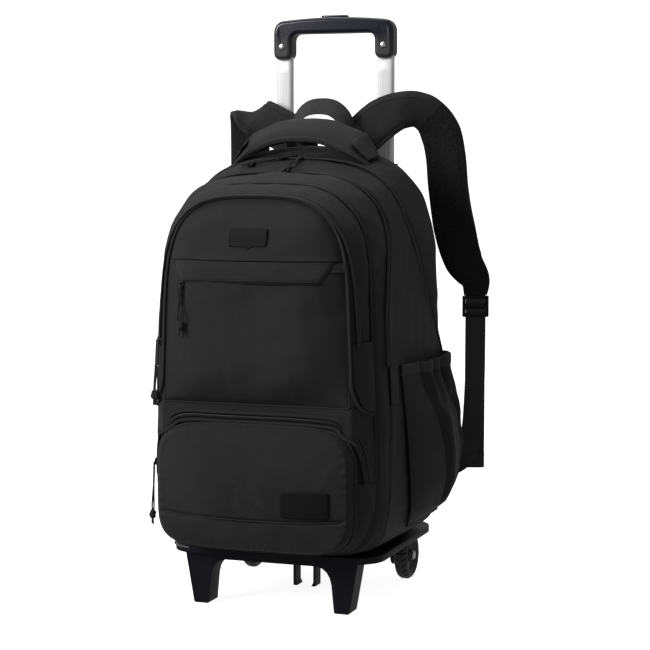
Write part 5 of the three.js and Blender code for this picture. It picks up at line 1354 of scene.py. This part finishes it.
ANCHOR_UP = 0.165
ANCHOR_OUT = 0.86
ANCHOR_WIDTH = 0.034
WEBBING_PLANE = BAG_BACK + 0.0026
WEBBING_SEWN = 0.014
TAIL_LENGTH = 0.190
# Rows from the tab to the lock: shares of the way across, back and up, and the direction across
LOWER_WEBBING_ROWS = {
    "right": np.array([
        [0, 0, 0, 0, 0, 1], [0.45, 0.035, 0, 0, 0, 1], [0.8, 0.12, 0.06, -0.5, 0, 0.85],
        [0.96, 0.4, 0.2, -0.9, -0.1, 0.4], [1.02, 0.75, 0.5, -0.94, -0.3, 0],
        [1, 1, 0.85, -0.94, -0.34, 0], [1, 1, 1, -0.94, -0.34, 0],
    ]),
    "left": np.array([
        [0, 0, 0, 0, 0, 1], [-0.55, 0.035, 0, 0, 0, 1], [-1.05, 0.15, 0.07, 0.7, 0, 0.7],
        [-1.02, 0.45, 0.25, 1, 0, 0.2], [-0.05, 0.8, 0.55, 1, 0, 0],
        [1, 1, 0.85, 1, 0, 0], [1, 1, 1, 1, 0, 0],
    ]),
}
TAIL_ROWS = np.array([[0, 0], [0.35, 0.002], [0.7, 0.0015], [1, 0.003]])


def make_webbing(side, foot, across, out):
    """Lower webbing from its tab up to the lock, the free tail below the lock with its end folded
    and sewn, and the cloth tab that holds the webbing in the bag's seam."""
    sign = SIGN[side]
    level = BAG_BASE + ANCHOR_UP * BAG_HEIGHT
    inner = BAG_HALF_WIDTH * ANCHOR_OUT
    start = np.array([sign * (inner + ANCHOR_WIDTH - WEBBING_SEWN), WEBBING_PLANE + WEBBING_THICKNESS + SEAT_GAP, level])
    end = foot - out * WEBBING_THICKNESS
    rows = LOWER_WEBBING_ROWS[side]
    path = spline(start + (end - start) * rows[:, :3], 120)
    grid = carried(path, spline(rows[:, 3:], 120), flat_section(), WEBBING_WIDTH, WEBBING_THICKNESS)
    solid(f"lower_webbing_{side}_strip", [grid], finish("webbing"), replaces=[f"lower_webbing_{side}"])
    line = foot + out * (WEBBING_THICKNESS + TAIL_ROWS[:, 1:]) - np.array([0, 0, TAIL_LENGTH]) * TAIL_ROWS[:, :1]
    path = spline(line, 80)
    way = np.broadcast_to(across, path.shape)
    tail = carried(path, way, flat_section(), WEBBING_WIDTH, WEBBING_THICKNESS)
    fold = carried(path[-10:], way[-10:], flat_section(), WEBBING_WIDTH * 1.01, WEBBING_THICKNESS * 2.2, (0.0, 0.0008))
    solid(f"tail_webbing_{side}_strip", [tail, fold], finish("webbing"), replaces=[f"tail_webbing_{side}"])
    outline = np.array([[inner, -0.025], [inner + ANCHOR_WIDTH, -0.0125], [inner + ANCHOR_WIDTH, 0.0125], [inner, 0.025]])
    outline = resampled(np.concatenate([np.pad(outline, ((0, 0), (0, 1))), np.pad(outline[:1], ((0, 0), (0, 1)))]), 81)[:-1, :2]
    rows = prism_rows(outline, WEBBING_THICKNESS, 0.0006)
    points = np.stack([sign * rows[..., 0], WEBBING_PLANE - WEBBING_THICKNESS / 2 + rows[..., 2], level + rows[..., 1]], -1)
    mesh = plate_mesh(f"anchor_tab_{side}_cloth", points)
    piece(f"anchor_tab_{side}_cloth", mesh, finish("nylon"), replaces=[f"anchor_tab_{side}"])
    seam = np.stack([sign * np.linspace(inner + 0.016, inner + 0.031, 8), np.full(8, WEBBING_PLANE + 0.0033), np.full(8, level)], -1)
    lanes = [seam + [0, 0, lift] for lift in (-0.009, 0.009)]
    stitches(f"anchor_tab_{side}_stitches", lanes, np.array([0.0, 1.0, 0.0]))


HANDLE_ACROSS = np.array([0.0, 0.9, 0.44])
HANDLE_ROWS = np.array([
    [1.14, -0.35, 0.62, 0.25], [1, 0.06, 0.9, 0.45], [0.86, 0.14, 1, 0.9], [0.68, 0.34, 1, 1],
    [0.46, 0.75, 1, 1], [0.24, 0.96, 1, 1], [0, 1, 1, 1],
])
LOOP_ROWS = np.array([[1, 0, 1, 1], [1.02, 0.3, 1, 1], [0.84, 0.72, 1, 1], [0.45, 0.95, 1, 1], [0, 1, 1, 1]])


def arch(rows, half_span, rise, y, width, thickness, lift, lean):
    """An arch over the bag's top: places, widths and thicknesses, mirrored about the middle."""
    full = np.concatenate([rows, rows[-2::-1] * [-1, 1, 1, 1]])
    x = full[:, 0] * half_span
    reach = lean * width / 2
    foot = np.max([top_of_bag(x, y + side * reach) for side in (-1, 0, 1)], axis=0) - 0.002
    z = foot + SEAT_GAP + lift + full[:, 1] * rise + thickness * full[:, 3] / 2
    return np.stack([x, np.full_like(x, y), z], -1), width * full[:, 2], thickness * full[:, 3]


def make_handle():
    """The grab handle: a padded arch with bound edges, and a stitched tab over each of its ends."""
    spots, broad, thick = arch(HANDLE_ROWS, 0.076, 0.0115, 0.007, 0.052, 0.019, 0.00075, 1.0)
    path = spline(spots, 150)
    spread = np.linspace(0, 1, 150)
    base = np.linspace(0, 1, len(spots))
    broad, thick = np.interp(spread, base, broad), np.interp(spread, base, thick)
    across = np.broadcast_to(HANDLE_ACROSS, path.shape)
    grid = carried(path, across, pad_section(), broad * 0.98, thick)
    grid = grid + ripples(grid, 0.0004, 0.03, 111)[..., None] * [0, 0, 1.0]
    made = solid("grab_handle_pad", [grid], finish("nylon"), replaces=["grab_handle"])
    edges = []
    for sign in (-1, 1):
        line = path + across * (sign * (broad / 2 - 0.0022))[:, None]
        edges.append(carried(line, across, round_section(12, 2.8), 0.005, thick * 0.34 + 0.0012))
    solid("grab_handle_binding", edges, finish("webbing"))
    for name, part, sign in (("left", path[-26:], -1), ("right", path[:26], 1)):
        thick_here = thick[-26:] if name == "left" else thick[:26]
        wide = (broad[-26:] if name == "left" else broad[:26]) * 0.8
        lift = thick_here / 2 + 0.0005
        side, face = band_frames(part, np.broadcast_to(HANDLE_ACROSS, part.shape))
        up = face * np.sign(face[:, 2:])
        strip = carried(part + up * lift[:, None], np.broadcast_to(HANDLE_ACROSS, part.shape), flat_section(), wide, 0.0014)
        solid(f"grab_handle_tab_{name}", [strip], finish("webbing"))
        lanes = [part[3:-3] + up[3:-3] * (lift[3:-3] + 0.0009)[:, None] + side[3:-3] * offset for offset in (-0.011, 0.011)]
        stitches(f"grab_handle_stitches_{name}", lanes, up[3:-3])


def make_hang_loop():
    """The hang loop: a ribbed webbing arch behind the grab handle."""
    spots, _, _ = arch(LOOP_ROWS, 0.037, 0.052, 0.064, WEBBING_WIDTH, WEBBING_THICKNESS, 0.0, 0.6)
    path = spline(spots, 110)
    across = np.broadcast_to([0.0, 0.6, 0.8], path.shape)
    grid = carried(path, across, flat_section(), WEBBING_WIDTH, WEBBING_THICKNESS)
    solid("hang_loop_strip", [grid], finish("webbing"), replaces=["hang_loop"])


# Label, badge and welt

def panel_piece(name, outline, surface, thickness, material, replaces, stand):
    """A thin plate laid on a panel: its outline in the front view, drawn in to a centre so that it
    follows the panel's curve, with a rounded rim."""
    centre = outline.mean(0)
    level = np.linspace(0, 1, 26)
    face = centre + level[:, None, None] * (outline - centre)[None]
    drop = thickness * np.clip((level - 0.93) / 0.07, 0, 1) ** 2.2
    y = surface(face[..., 0], face[..., 1]) - stand - thickness + drop[:, None]
    front = np.stack([face[..., 0], y, face[..., 1]], -1)
    back = front[::-1].copy()
    back[..., 1] = surface(back[..., 0], back[..., 2]) - stand + 0.0004
    return solid(name, [np.concatenate([front, back])], finish(material), replaces=replaces, capped=False)


def make_front_trim():
    """The label, the badge, the welt over the front zip and its small end piece."""
    foot = angle_at("front", PANEL_SEAM)
    outline = front_outline(foot)

    def on_front(x, z):
        return front_depth(x, z, outline)

    welt_top = BAG_BASE + 0.7267 * BAG_HEIGHT
    label = rounded_outline(0.0235, 0.0105, 0.003, 8)
    label = resampled(np.pad(np.concatenate([label, label[:1]]), ((0, 0), (0, 1))), 241)[:-1, :2]
    point = -0.004 * np.exp(-(label[:, 0] / 0.003) ** 2) * (label[:, 1] < 0)
    label = label + np.stack([np.zeros(len(label)), point], -1)
    label = label + [0, welt_top + 0.0155 + 0.0105]
    panel_piece("label_plate", label, on_front, 0.0013, "patch_face", ["label_patch"], 0.0016)
    rim = np.concatenate([label, label[:1]]) * [0.9, 1] + [0, 0]
    rim = np.stack([rim[:, 0], on_front(rim[:, 0], rim[:, 1]) - 0.0029, (rim[:, 1] - welt_top - 0.026) * 0.84 + welt_top + 0.026], -1)
    stitches("label_stitches", [rim], np.array([0.0, -1.0, 0.0]))
    badge = rounded_outline(0.028, 0.015, 0.003, 8)
    badge = resampled(np.pad(np.concatenate([badge, badge[:1]]), ((0, 0), (0, 1))), 241)[:-1, :2]
    badge = badge + [0.068, POCKET_CENTRE - 0.012]
    panel_piece("badge_plate", badge, pocket_depth, 0.0011, "patch_face", ["badge_patch"], 0.0009)
    half = RINGS["front"]["half"] * BAG_HALF_WIDTH
    welt = np.array([[-0.845, 0], [0.881, 0], [0.86, -0.3], [0.755, -1], [-0.755, -1], [-0.84, -0.45]])
    welt = np.stack([welt[:, 0] * half, welt_top - 0.0004 + welt[:, 1] * 0.023, np.zeros(len(welt))], -1)
    welt = resampled(np.concatenate([welt, welt[:1]]), 361)[:-1, :2]
    # The welt flap is in the nylon lightened as a painted highlight
    panel_piece("zip_welt_flap", welt, on_front, 0.0017, "nylon_pale", ["zip_welt"], 0.0012)
    lane_x = np.linspace(-0.74, 0.74, 90) * half
    lane = np.stack([lane_x, on_front(lane_x, np.full(90, welt_top - 0.0205)) - 0.0031, np.full(90, welt_top - 0.0205)], -1)
    stitches("zip_welt_stitches", [lane], np.array([0.0, -1.0, 0.0]))
    for name, reach, height, radius in (("under", 0.755, -0.0246, 0.0015), ("over", 0.86, 0.0007, 0.0009)):
        line_x = np.linspace(-reach, reach, 160) * half
        line_z = np.full(160, welt_top + height)
        piping(f"zip_welt_shadow_{name}", np.stack([line_x, on_front(line_x, line_z) - 0.0004, line_z], -1), radius, "lining")
    small = np.array([[0.098, -0.002], [0.1085, -0.002], [0.1085, -0.012], [0.094, -0.012]])
    small = np.stack([small[:, 0], FOLD_Z + small[:, 1], np.zeros(4)], -1)
    small = resampled(np.concatenate([small, small[:1]]), 121)[:-1, :2]
    # The end piece is in the nylon lightened as a painted highlight
    panel_piece("zip_end_piece", small, on_front, 0.001, "nylon_pale", [], 0.0006)


# Zips along the bag

def ring_frame(ring, angles):
    return ring_point(ring, angles), ring_outward(ring, angles)


def gusset_line(front, rear, swell, rows, count, side=1.0, stand=0.0):
    """A line on a band from rows of height and share across it, on one side of the bag."""
    rows = np.array(rows)
    spread = np.linspace(0, 1, count)
    base = np.linspace(0, 1, len(rows))
    height = np.interp(spread, base, rows[:, 0])
    share = np.interp(spread, base, rows[:, 1])
    angle = angle_at(front, height)
    point = band_point(front, rear, angle, share, swell, stand)
    out = unit(ring_outward(front, angle) + [0, -0.25, 0])
    flip = np.array([side, 1, 1])
    return point * flip, out * flip


def arch_line(front, rear, swell, table, count, low, stand=0.0):
    """A line along a band, up one side, over the top and down the other: its share across the band
    is read from rows of height and share."""
    table = np.array(table)
    angles = spread_angles(count, angle_at(front, low), math.pi - angle_at(front, low))
    height = ring_point(front, angles)[:, 2]
    share = np.interp(height, table[:, 0], table[:, 1])
    point = band_point(front, rear, angles, share, swell, stand)
    return point, unit(ring_outward(front, angles) + [0, -0.2, 0])


def make_zips():
    """The closed zips: front compartment, second compartment, main compartment and lower pocket,
    with the garages that cover their ends."""
    table = [(0.30, 0.42), (0.3199, 0.42), (0.3721, 0.35), (0.4056, 0.28), (0.4386, 0.2), (0.46, 0.12), (0.50, 0.1)]
    line, out = arch_line("front", "zip", SWELL["front"], table, 900, 0.315)
    zip_run("front_zip", line, out)
    angles = spread_angles(1100, angle_at("fold", 0.29), math.pi - angle_at("fold", 0.29))
    line, out = ring_frame("fold", angles)
    zip_run("second_zip", line - out * 0.0004, out, 0.0046)
    angles = spread_angles(1200, angle_at("main", 0.225), math.pi - angle_at("main", 0.225))
    line, out = ring_frame("main", angles)
    # The main zip's folds are in the nylon lightened as a painted highlight
    zip_run("main_zip", line - out * 0.0002, out, 0.0056, cover="nylon_pale")
    top = np.linspace(-0.083, 0.083, 60)
    flat = np.stack([top, np.full(60, FRONT_PLANE - 0.0006), np.full(60, 0.2312)], -1)
    corner = np.array([[0.0995, FRONT_PLANE - 0.0006, 0.2272], [0.109, FRONT_PLANE + 0.0012, 0.2185]])
    rows = [(0.2090, 0.17), (0.1953, 0.34), (0.1790, 0.46), (0.1623, 0.55)]
    fall, _ = gusset_line("front", "zip", SWELL["front"], rows, 8, stand=0.0004)
    half = np.concatenate([corner, fall])
    knots = np.concatenate([(half * [-1, 1, 1])[::-1], flat[::12], half])
    line = resampled(spline(knots, 900), 700)
    bend = smooth(0.095, 0.118, np.abs(line[:, 0]))
    out = unit(np.stack([np.sign(line[:, 0]) * bend, -(1 - bend) - 0.25, np.zeros(700)], -1))
    zip_run("pocket_zip", line, out)
    for side in (-1, 1):
        name = "right" if side > 0 else "left"
        garage(f"pocket_garage_{name}", "front", "zip", SWELL["front"], side, 0.1635, 0.132, 0.08, 0.97, 0.0016)
        garage(f"second_garage_{name}", "fold", "main", SWELL["main"], side, 0.2905, 0.245, 0.004, 0.13, 0.0016)
        garage(f"front_garage_{name}", "front", "zip", SWELL["front"], side, 0.3195, 0.2425, 0.05, 0.97, 0.0012)


def garage(name, front, rear, swell, side, top, foot, first, last, thick):
    """A sewn panel over the end of a zip: a patch of a band between two heights and two shares, its
    rim rolled under."""
    height = np.linspace(top, foot, 60)
    share = np.linspace(first, last, 40)
    level = np.minimum(np.minimum(np.linspace(0, 1, 60), np.linspace(1, 0, 60))[:, None] * (top - foot),
                       np.minimum(np.linspace(0, 1, 40), np.linspace(1, 0, 40))[None, :] * (last - first) * 0.034)
    lift = thick * np.clip(level / 0.0016, 0, 1) ** 0.5
    angle = angle_at(front, height)[:, None]
    if name.startswith("front_garage"):
        low = np.interp(height, [0.2393, 0.2483, 0.2694, 0.3], [0.78, 0.34, 0.08, 0.05])[:, None]
        share = low + (last - low) * np.linspace(0, 1, 40)[None, :]
    else:
        share = share[None, :]
    point = band_point(front, rear, np.broadcast_to(angle, (60, 40)), np.broadcast_to(share, (60, 40)), swell)
    out = unit(ring_outward(front, angle) + [0, -0.3 if front == "front" else 0.0, 0])
    grid = (point + out * (lift + 0.0004)[..., None]) * [side, 1, 1]
    skin(name, [grid], finish("nylon"), 0.0012, (0, 0, 0.2))


# Base, wheels and trolley

def softened_copy(node, name, material, body, width, segments=3):
    """A copy of a hard CAD node with its doubles merged, its flats joined and its edges rounded."""
    import bmesh
    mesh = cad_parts[node].data.copy()
    mesh.name = name
    work = bmesh.new()
    work.from_mesh(mesh)
    bmesh.ops.remove_doubles(work, verts=work.verts, dist=1e-5)
    bmesh.ops.dissolve_limit(work, angle_limit=math.radians(1.0), verts=work.verts, edges=work.edges)
    bmesh.ops.recalc_face_normals(work, faces=work.faces)
    work.to_mesh(mesh)
    work.free()
    mesh.materials.clear()
    mesh.polygons.foreach_set("use_smooth", np.ones(len(mesh.polygons), bool))
    made = piece(name, mesh, finish(material), body, [node])
    rounding = made.modifiers.new("rounded edges", "BEVEL")
    rounding.width = width
    rounding.segments = segments
    rounding.limit_method = "ANGLE"
    rounding.angle_limit = math.radians(24)
    rounding.harden_normals = True
    return made


def make_base():
    """The moulded base with its feet, a small boss and the centre bracket, and a pale lip that is a painted glint, laid
    only along its left front corner.
    """
    softened_copy("base_plate", "base_moulding", "moulded", "bag", 0.0014)
    softened_copy("centre_bracket", "centre_bracket_moulding", "moulded", "bag", 0.0007)
    outline = rounded_outline(0.131, 0.124, 0.036, 24) + [0, 0.009]
    path = np.concatenate([outline, outline[:1]])
    path = resampled(np.stack([path[:, 0], path[:, 1], np.full(len(path), 0.0668)], -1), 600)
    # Only the left front corner of the lip is laid, in the pale finish: a painted glint
    corner = path[(path[:, 0] < -0.100) & (path[:, 1] < -0.060)]
    solid("base_lip_painted_glint", [swept(corner, np.array([0, 0, 1.0]), round_section(10, 2.4) * [0.0021, 0.0013])], finish("rim"))


WHEEL_X, WHEEL_Y, WHEEL_RADIUS = 0.103, 0.098, 0.030


def turned_grid(profile, around, axis_place, groove=None):
    """A profile of radius and height turned about a wheel's axle, with a groove taken off its radius
    where one is given."""
    angle = np.linspace(0, TURN, around, endpoint=False)[:, None]
    radius = np.broadcast_to(profile[None, :, 0], (around, len(profile)))
    height = np.broadcast_to(profile[None, :, 1], radius.shape)
    if groove is not None:
        radius = radius - groove(angle, height, radius)
    return np.stack([height, radius * np.cos(angle), radius * np.sin(angle)], -1) + axis_place


def closed_turn(name, profile, around, place, material, body, replaces, groove=None):
    """A ring turned from a closed profile: its rows go all the way round and meet."""
    grid = turned_grid(profile, around, place, groove)
    grid = np.concatenate([grid, grid[:1]])
    return solid(name, [grid], finish(material), body, replaces, capped=False)


def rounded_profile(points, count, fillet=0.0006):
    """A closed profile drawn through its corners, each cut by a short curve."""
    points = np.asarray(points, float)
    before, after = np.roll(points, 1, 0), np.roll(points, -1, 0)
    first = unit(before - points) * np.minimum(fillet, np.linalg.norm(before - points, axis=1) / 2.2)[:, None]
    second = unit(after - points) * np.minimum(fillet, np.linalg.norm(after - points, axis=1) / 2.2)[:, None]
    share = np.linspace(0, 1, count)[None, :, None]
    curve = ((points + first)[:, None] * (1 - share) ** 2 + points[:, None] * 2 * share * (1 - share)
             + (points + second)[:, None] * share ** 2)
    return curve.reshape(-1, 2)


def tread(angle, height, radius):
    """Tread of the tyre: slanted lugs across its face and one groove round its middle."""
    outer = smooth(0.0262, 0.0290, radius)
    lug = np.sin(22 * angle + 260 * np.abs(height))
    cut = smooth(0.35, 0.75, lug) * 0.0016
    ring = 0.0012 * np.exp(-(height / 0.0008) ** 2)
    return np.maximum(cut * smooth(0.0012, 0.003, np.abs(height)), ring) * outer


def make_wheel(name):
    """A wheel: a lugged rubber tyre, a dished hub with five spokes and a headed axle."""
    side = SIGN[name]
    place = np.array([side * WHEEL_X, WHEEL_Y, WHEEL_RADIUS])
    top = WHEEL_RADIUS - 0.00002
    crown = [[top - 0.0088, -0.0064], [top - 0.0052, -0.0088], [top - 0.0026, -0.0072], [top - 0.0004, -0.004],
             [top, -0.0018], [top, 0.0018], [top - 0.0004, 0.004], [top - 0.0026, 0.0072], [top - 0.0052, 0.0088],
             [top - 0.0088, 0.0064]]
    closed_turn(f"tyre_{name}", rounded_profile(crown, 6, 0.0011), 352, place, "rubber", f"wheel_{name}",
                [f"wheel_tyre_{name}"], tread)
    rim = 0.0209
    hub = [[0.0033, -0.008], [0.007, -0.008], [0.008, -0.003], [rim - 0.003, -0.003], [rim - 0.002, -0.006], [rim, -0.006],
           [rim, 0.006], [rim - 0.002, 0.006], [rim - 0.003, 0.003], [0.008, 0.003], [0.007, 0.008], [0.0033, 0.008]]
    closed_turn(f"hub_{name}", rounded_profile(hub, 5, 0.0007), 160, place, "hub_plastic", f"wheel_{name}",
                [f"wheel_hub_{name}"])
    spokes = []
    for index in range(5):
        angle = index / 5 * TURN + 0.2
        reach = np.linspace(0.0085, rim - 0.0035, 9)
        line = np.stack([np.zeros(9), reach * math.cos(angle), reach * math.sin(angle)], -1) + place
        spokes.append(swept(line, np.array([1.0, 0, 0]), round_section(10, 3.0) * [0.0017, 0.0046]))
    solid(f"hub_spokes_{name}", spokes, finish("hub_plastic"), f"wheel_{name}")
    pin = np.array([[0.0, -0.0117], [0.0026, -0.0117], [0.003, -0.0113], [0.003, 0.0088], [0.0053, 0.0088],
                    [0.0055, 0.0092], [0.0052, 0.0100], [0.0040, 0.0108], [0.002, 0.0112], [0.0, 0.0112]])
    pin = pin * [1, side]
    angle = np.linspace(0, TURN, 48, endpoint=False)[None, :]
    grid = np.stack([np.broadcast_to(pin[:, 1:], (len(pin), 48)), pin[:, :1] * np.cos(angle), pin[:, :1] * np.sin(angle)], -1)
    solid(f"axle_{name}", [grid + place], finish("steel"), "bag", [f"wheel_axle_{name}"], capped=False)


TUBE_X = 0.067
INNER_HALF = np.array([0.0105, 0.006])
OUTER_HALF = INNER_HALF + 0.002


def pipe(name, half, wall, low, high, x, material, body, replaces):
    """A rounded rectangular tube with its wall: up the outside, in over the top, and down the bore."""
    radius = half[1] * 0.7
    outer = rounded_outline(half[0], half[1], radius, 10)
    inner = rounded_outline(half[0] - wall, half[1] - wall, radius - wall, 10)
    heights = np.linspace(low, high, 14)
    rows = [np.column_stack([outer, np.full(len(outer), z)]) for z in heights]
    rows += [np.column_stack([inner, np.full(len(inner), z)]) for z in heights[::-1]]
    rows.append(rows[0])
    grid = np.stack(rows) + [x, TUBE_Y, 0]
    return solid(name, [grid], finish(material), body, replaces, capped=False)


GRIP_HALF_WIDTH = 0.079
GRIP_FOOT = 0.650
GRIP_TOP = 0.702
GRIP_DEPTH = 0.025


def bent(points, count):
    """A curve with one control point: the square blend of its start, bend and end."""
    share = np.linspace(0, 1, count)[:, None]
    a, b, c = (np.array(point, float) for point in points)
    return a * (1 - share) ** 2 + 2 * b * share * (1 - share) + c * share ** 2


def grip_outline():
    """The grip in the front view: a crowned bar with a leg at each end, the corners rounded."""
    shoulder, corner, inside, bar = GRIP_TOP - 0.003, 0.017, 0.055, GRIP_TOP - 0.020
    toe, inner = 0.0095, 0.0102
    half = [
        bent([(inside, GRIP_FOOT + toe), (inside, GRIP_FOOT), (inside + toe, GRIP_FOOT)], 7),
        bent([(GRIP_HALF_WIDTH - toe, GRIP_FOOT), (GRIP_HALF_WIDTH, GRIP_FOOT), (GRIP_HALF_WIDTH, GRIP_FOOT + toe)], 7),
        bent([(GRIP_HALF_WIDTH, shoulder - corner), (GRIP_HALF_WIDTH, shoulder), (GRIP_HALF_WIDTH - corner, shoulder)], 16),
    ]
    right = np.concatenate(half)
    crown = bent([(GRIP_HALF_WIDTH - corner, shoulder), (0, GRIP_TOP + 0.003), (-GRIP_HALF_WIDTH + corner, shoulder)], 40)[1:-1]
    left = (right * [-1, 1])[::-1]
    under = np.concatenate([
        bent([(-inside, bar - inner), (-inside, bar), (-inside + inner, bar)], 12),
        bent([(inside - inner, bar), (inside, bar), (inside, bar - inner)], 12),
    ])
    return np.concatenate([right, crown, left, under])


def make_trolley():
    """The trolley: outer tubes and their yoke on the bag, inner tubes, the grip and its rivets on the
    handle, and the release button in the grip."""
    for name, side in SIGN.items():
        pipe(f"outer_tube_{name}_metal", OUTER_HALF, 0.0012, 0.0683, 0.515, side * TUBE_X, "tube_metal",
             "bag", [f"outer_tube_{name}"])
        pipe(f"inner_tube_{name}_metal", INNER_HALF, 0.001, 0.210, 0.668, side * TUBE_X, "tube_metal",
             "trolley_handle", [f"inner_tube_{name}"])
        dome = np.array([[0.0, 0.0], [0.0039, 0.0], [0.004, 0.0003], [0.0036, 0.0009], [0.0026, 0.0014], [0.0012, 0.0016], [0.0, 0.0016]])
        angle = np.linspace(0, TURN, 40, endpoint=False)[None, :]
        grid = np.stack([dome[:, :1] * np.cos(angle), np.broadcast_to(-dome[:, 1:], (len(dome), 40)), dome[:, :1] * np.sin(angle)], -1)
        place = np.array([side * TUBE_X, TUBE_Y - GRIP_DEPTH / 2 - 0.0003, GRIP_FOOT + 0.016])
        solid(f"rivet_{name}_head", [grid + place], finish("steel"), "trolley_handle", [f"grip_rivet_{name}"], capped=False)
    softened_copy("tube_yoke", "tube_yoke_moulding", "moulded", "bag", 0.0015)
    outline = grip_outline()
    rows = prism_rows(outline, GRIP_DEPTH, 0.0048, 7)
    points = np.stack([rows[..., 0], TUBE_Y - GRIP_DEPTH / 2 + rows[..., 2], rows[..., 1]], -1)
    crowned = smooth(GRIP_TOP - 0.022, GRIP_TOP, points[..., 2])
    points[..., 1] += (TUBE_Y - points[..., 1]) * 0.06 * crowned
    mesh = plate_mesh("grip_moulding", points)
    piece("grip_moulding", mesh, finish("grip_plastic"), "trolley_handle", ["grip"])
    button = prism_rows(rounded_outline(0.0175, 0.007, 0.0062, 10), 0.007, 0.0014, 5)
    button = np.stack([button[..., 0], TUBE_Y + button[..., 1], GRIP_TOP + 0.0025 - 0.007 + button[..., 2]], -1)
    mesh = plate_mesh("release_button_cap", button)
    piece("release_button_cap", mesh, finish("grip_plastic"), "release_button", ["grip_button"])


def hub_plastic(name):
    """Hub: grey moulded plastic with a fine grain."""
    made = Finish(name, Specular_IOR_Level=0.5)
    grain = made.noise(1200.0, 2.0)
    made.colour(made.blend(grain, (0.024, 0.024, 0.025), (0.05, 0.05, 0.052)))
    made.roughness(grain * 0.12 + 0.3)
    made.relief(grain, 0.00006)
    return made


MAKERS["hub_plastic"] = hub_plastic


# Operators

class BagStage(bpy.types.Operator):
    """Adds the camera, the soft lights and the floor."""

    bl_idname = "backpack.stage"
    bl_label = "Camera, lights and floor"

    def execute(self, context):
        make_camera()
        make_floor()
        context.scene.view_settings.view_transform = "Standard"
        make_light("key", (-1.5, -1.8, 1.5), (0, 0, 0.42), (1.1, 1.1), 57)
        make_light("top", (-0.3, 0.2, 2.2), (0, 0, 0.4), (1.4, 1.4), 15)
        world = bpy.data.worlds.new("studio")
        world.use_nodes = True
        world.node_tree.nodes["Background"].inputs["Color"].default_value = (1, 1, 1, 1)
        world.node_tree.nodes["Background"].inputs["Strength"].default_value = 0.27
        context.scene.world = world
        return {"FINISHED"}


class BagPulls(bpy.types.Operator):
    """Adds the cord loops with their knots, and the zip sliders they hang from."""

    bl_idname = "backpack.pulls"
    bl_label = "Zip pulls"

    def execute(self, context):
        for name in PULLS:
            make_pull_cord(name)
            make_slider(name)
        return {"FINISHED"}


class BagBody(bpy.types.Operator):
    """Adds the bag's sewn bands, its front panels and its piping."""

    bl_idname = "backpack.body"
    bl_label = "Bag"

    def execute(self, context):
        make_bag()
        make_lower_pocket()
        return {"FINISHED"}


class BagBack(bpy.types.Operator):
    """Adds the padded back."""

    bl_idname = "backpack.back"
    bl_label = "Back pad"

    def execute(self, context):
        make_back_panel()
        return {"FINISHED"}


class BagZips(bpy.types.Operator):
    """Adds the closed zips and their garages."""

    bl_idname = "backpack.zips"
    bl_label = "Zips"

    def execute(self, context):
        make_zips()
        return {"FINISHED"}


class BagSidePockets(bpy.types.Operator):
    """Adds the two gathered side pockets."""

    bl_idname = "backpack.side_pockets"
    bl_label = "Side pockets"

    def execute(self, context):
        for name, side in SIGN.items():
            make_side_pocket(side, name)
        return {"FINISHED"}


class BagFrontTrim(bpy.types.Operator):
    """Adds the label, the badge and the welt over the front zip."""

    bl_idname = "backpack.front_trim"
    bl_label = "Front trim"

    def execute(self, context):
        make_front_trim()
        return {"FINISHED"}


class BagStraps(bpy.types.Operator):
    """Adds the shoulder straps, their ladder locks and their webbing."""

    bl_idname = "backpack.straps"
    bl_label = "Shoulder straps"

    def execute(self, context):
        for side in SIGN:
            make_strap(side)
            make_webbing(side, *make_lock(side))
        return {"FINISHED"}


class BagHandles(bpy.types.Operator):
    """Adds the grab handle and the hang loop."""

    bl_idname = "backpack.handles"
    bl_label = "Grab handle and hang loop"

    def execute(self, context):
        make_handle()
        make_hang_loop()
        return {"FINISHED"}


class BagBase(bpy.types.Operator):
    """Adds the moulded base and its bracket."""

    bl_idname = "backpack.base"
    bl_label = "Base"

    def execute(self, context):
        make_base()
        return {"FINISHED"}


class BagWheels(bpy.types.Operator):
    """Adds the two wheels."""

    bl_idname = "backpack.wheels"
    bl_label = "Wheels"

    def execute(self, context):
        for name in SIGN:
            make_wheel(name)
        return {"FINISHED"}


class BagTrolley(bpy.types.Operator):
    """Adds the trolley's tubes, grip, rivets and button."""

    bl_idname = "backpack.trolley"
    bl_label = "Trolley handle"

    def execute(self, context):
        make_trolley()
        return {"FINISHED"}


OPERATORS = (
    BagStage, BagPulls, BagBody, BagBack, BagZips, BagSidePockets, BagFrontTrim, BagStraps, BagHandles, BagBase,
    BagWheels, BagTrolley,
)


class BagPanel(bpy.types.Panel):
    """Lists the backpack's pieces in the sidebar."""

    bl_idname = "VIEW3D_PT_backpack"
    bl_label = "Wheeled Backpack"
    bl_space_type = "VIEW_3D"
    bl_region_type = "UI"
    bl_category = "Backpack"

    def draw(self, context):
        for group in (context.scene.bag_sizes, context.scene.bag_colours):
            for name in group.__annotations__:
                self.layout.prop(group, name)
        for operator in OPERATORS:
            self.layout.operator(operator.bl_idname)


def register():
    for kind in (BagSizes, BagColours, *OPERATORS, BagPanel):
        bpy.utils.register_class(kind)
    bpy.types.Scene.bag_sizes = PointerProperty(type=BagSizes)
    bpy.types.Scene.bag_colours = PointerProperty(type=BagColours)


def unregister():
    del bpy.types.Scene.bag_sizes
    del bpy.types.Scene.bag_colours
    for kind in (BagPanel, *OPERATORS[::-1], BagColours, BagSizes):
        bpy.utils.unregister_class(kind)


def main():
    register()
    for operator in OPERATORS:
        group, name = operator.bl_idname.split(".")
        getattr(getattr(bpy.ops, group), name)()
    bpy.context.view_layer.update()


if __name__ == "__main__":
    main()
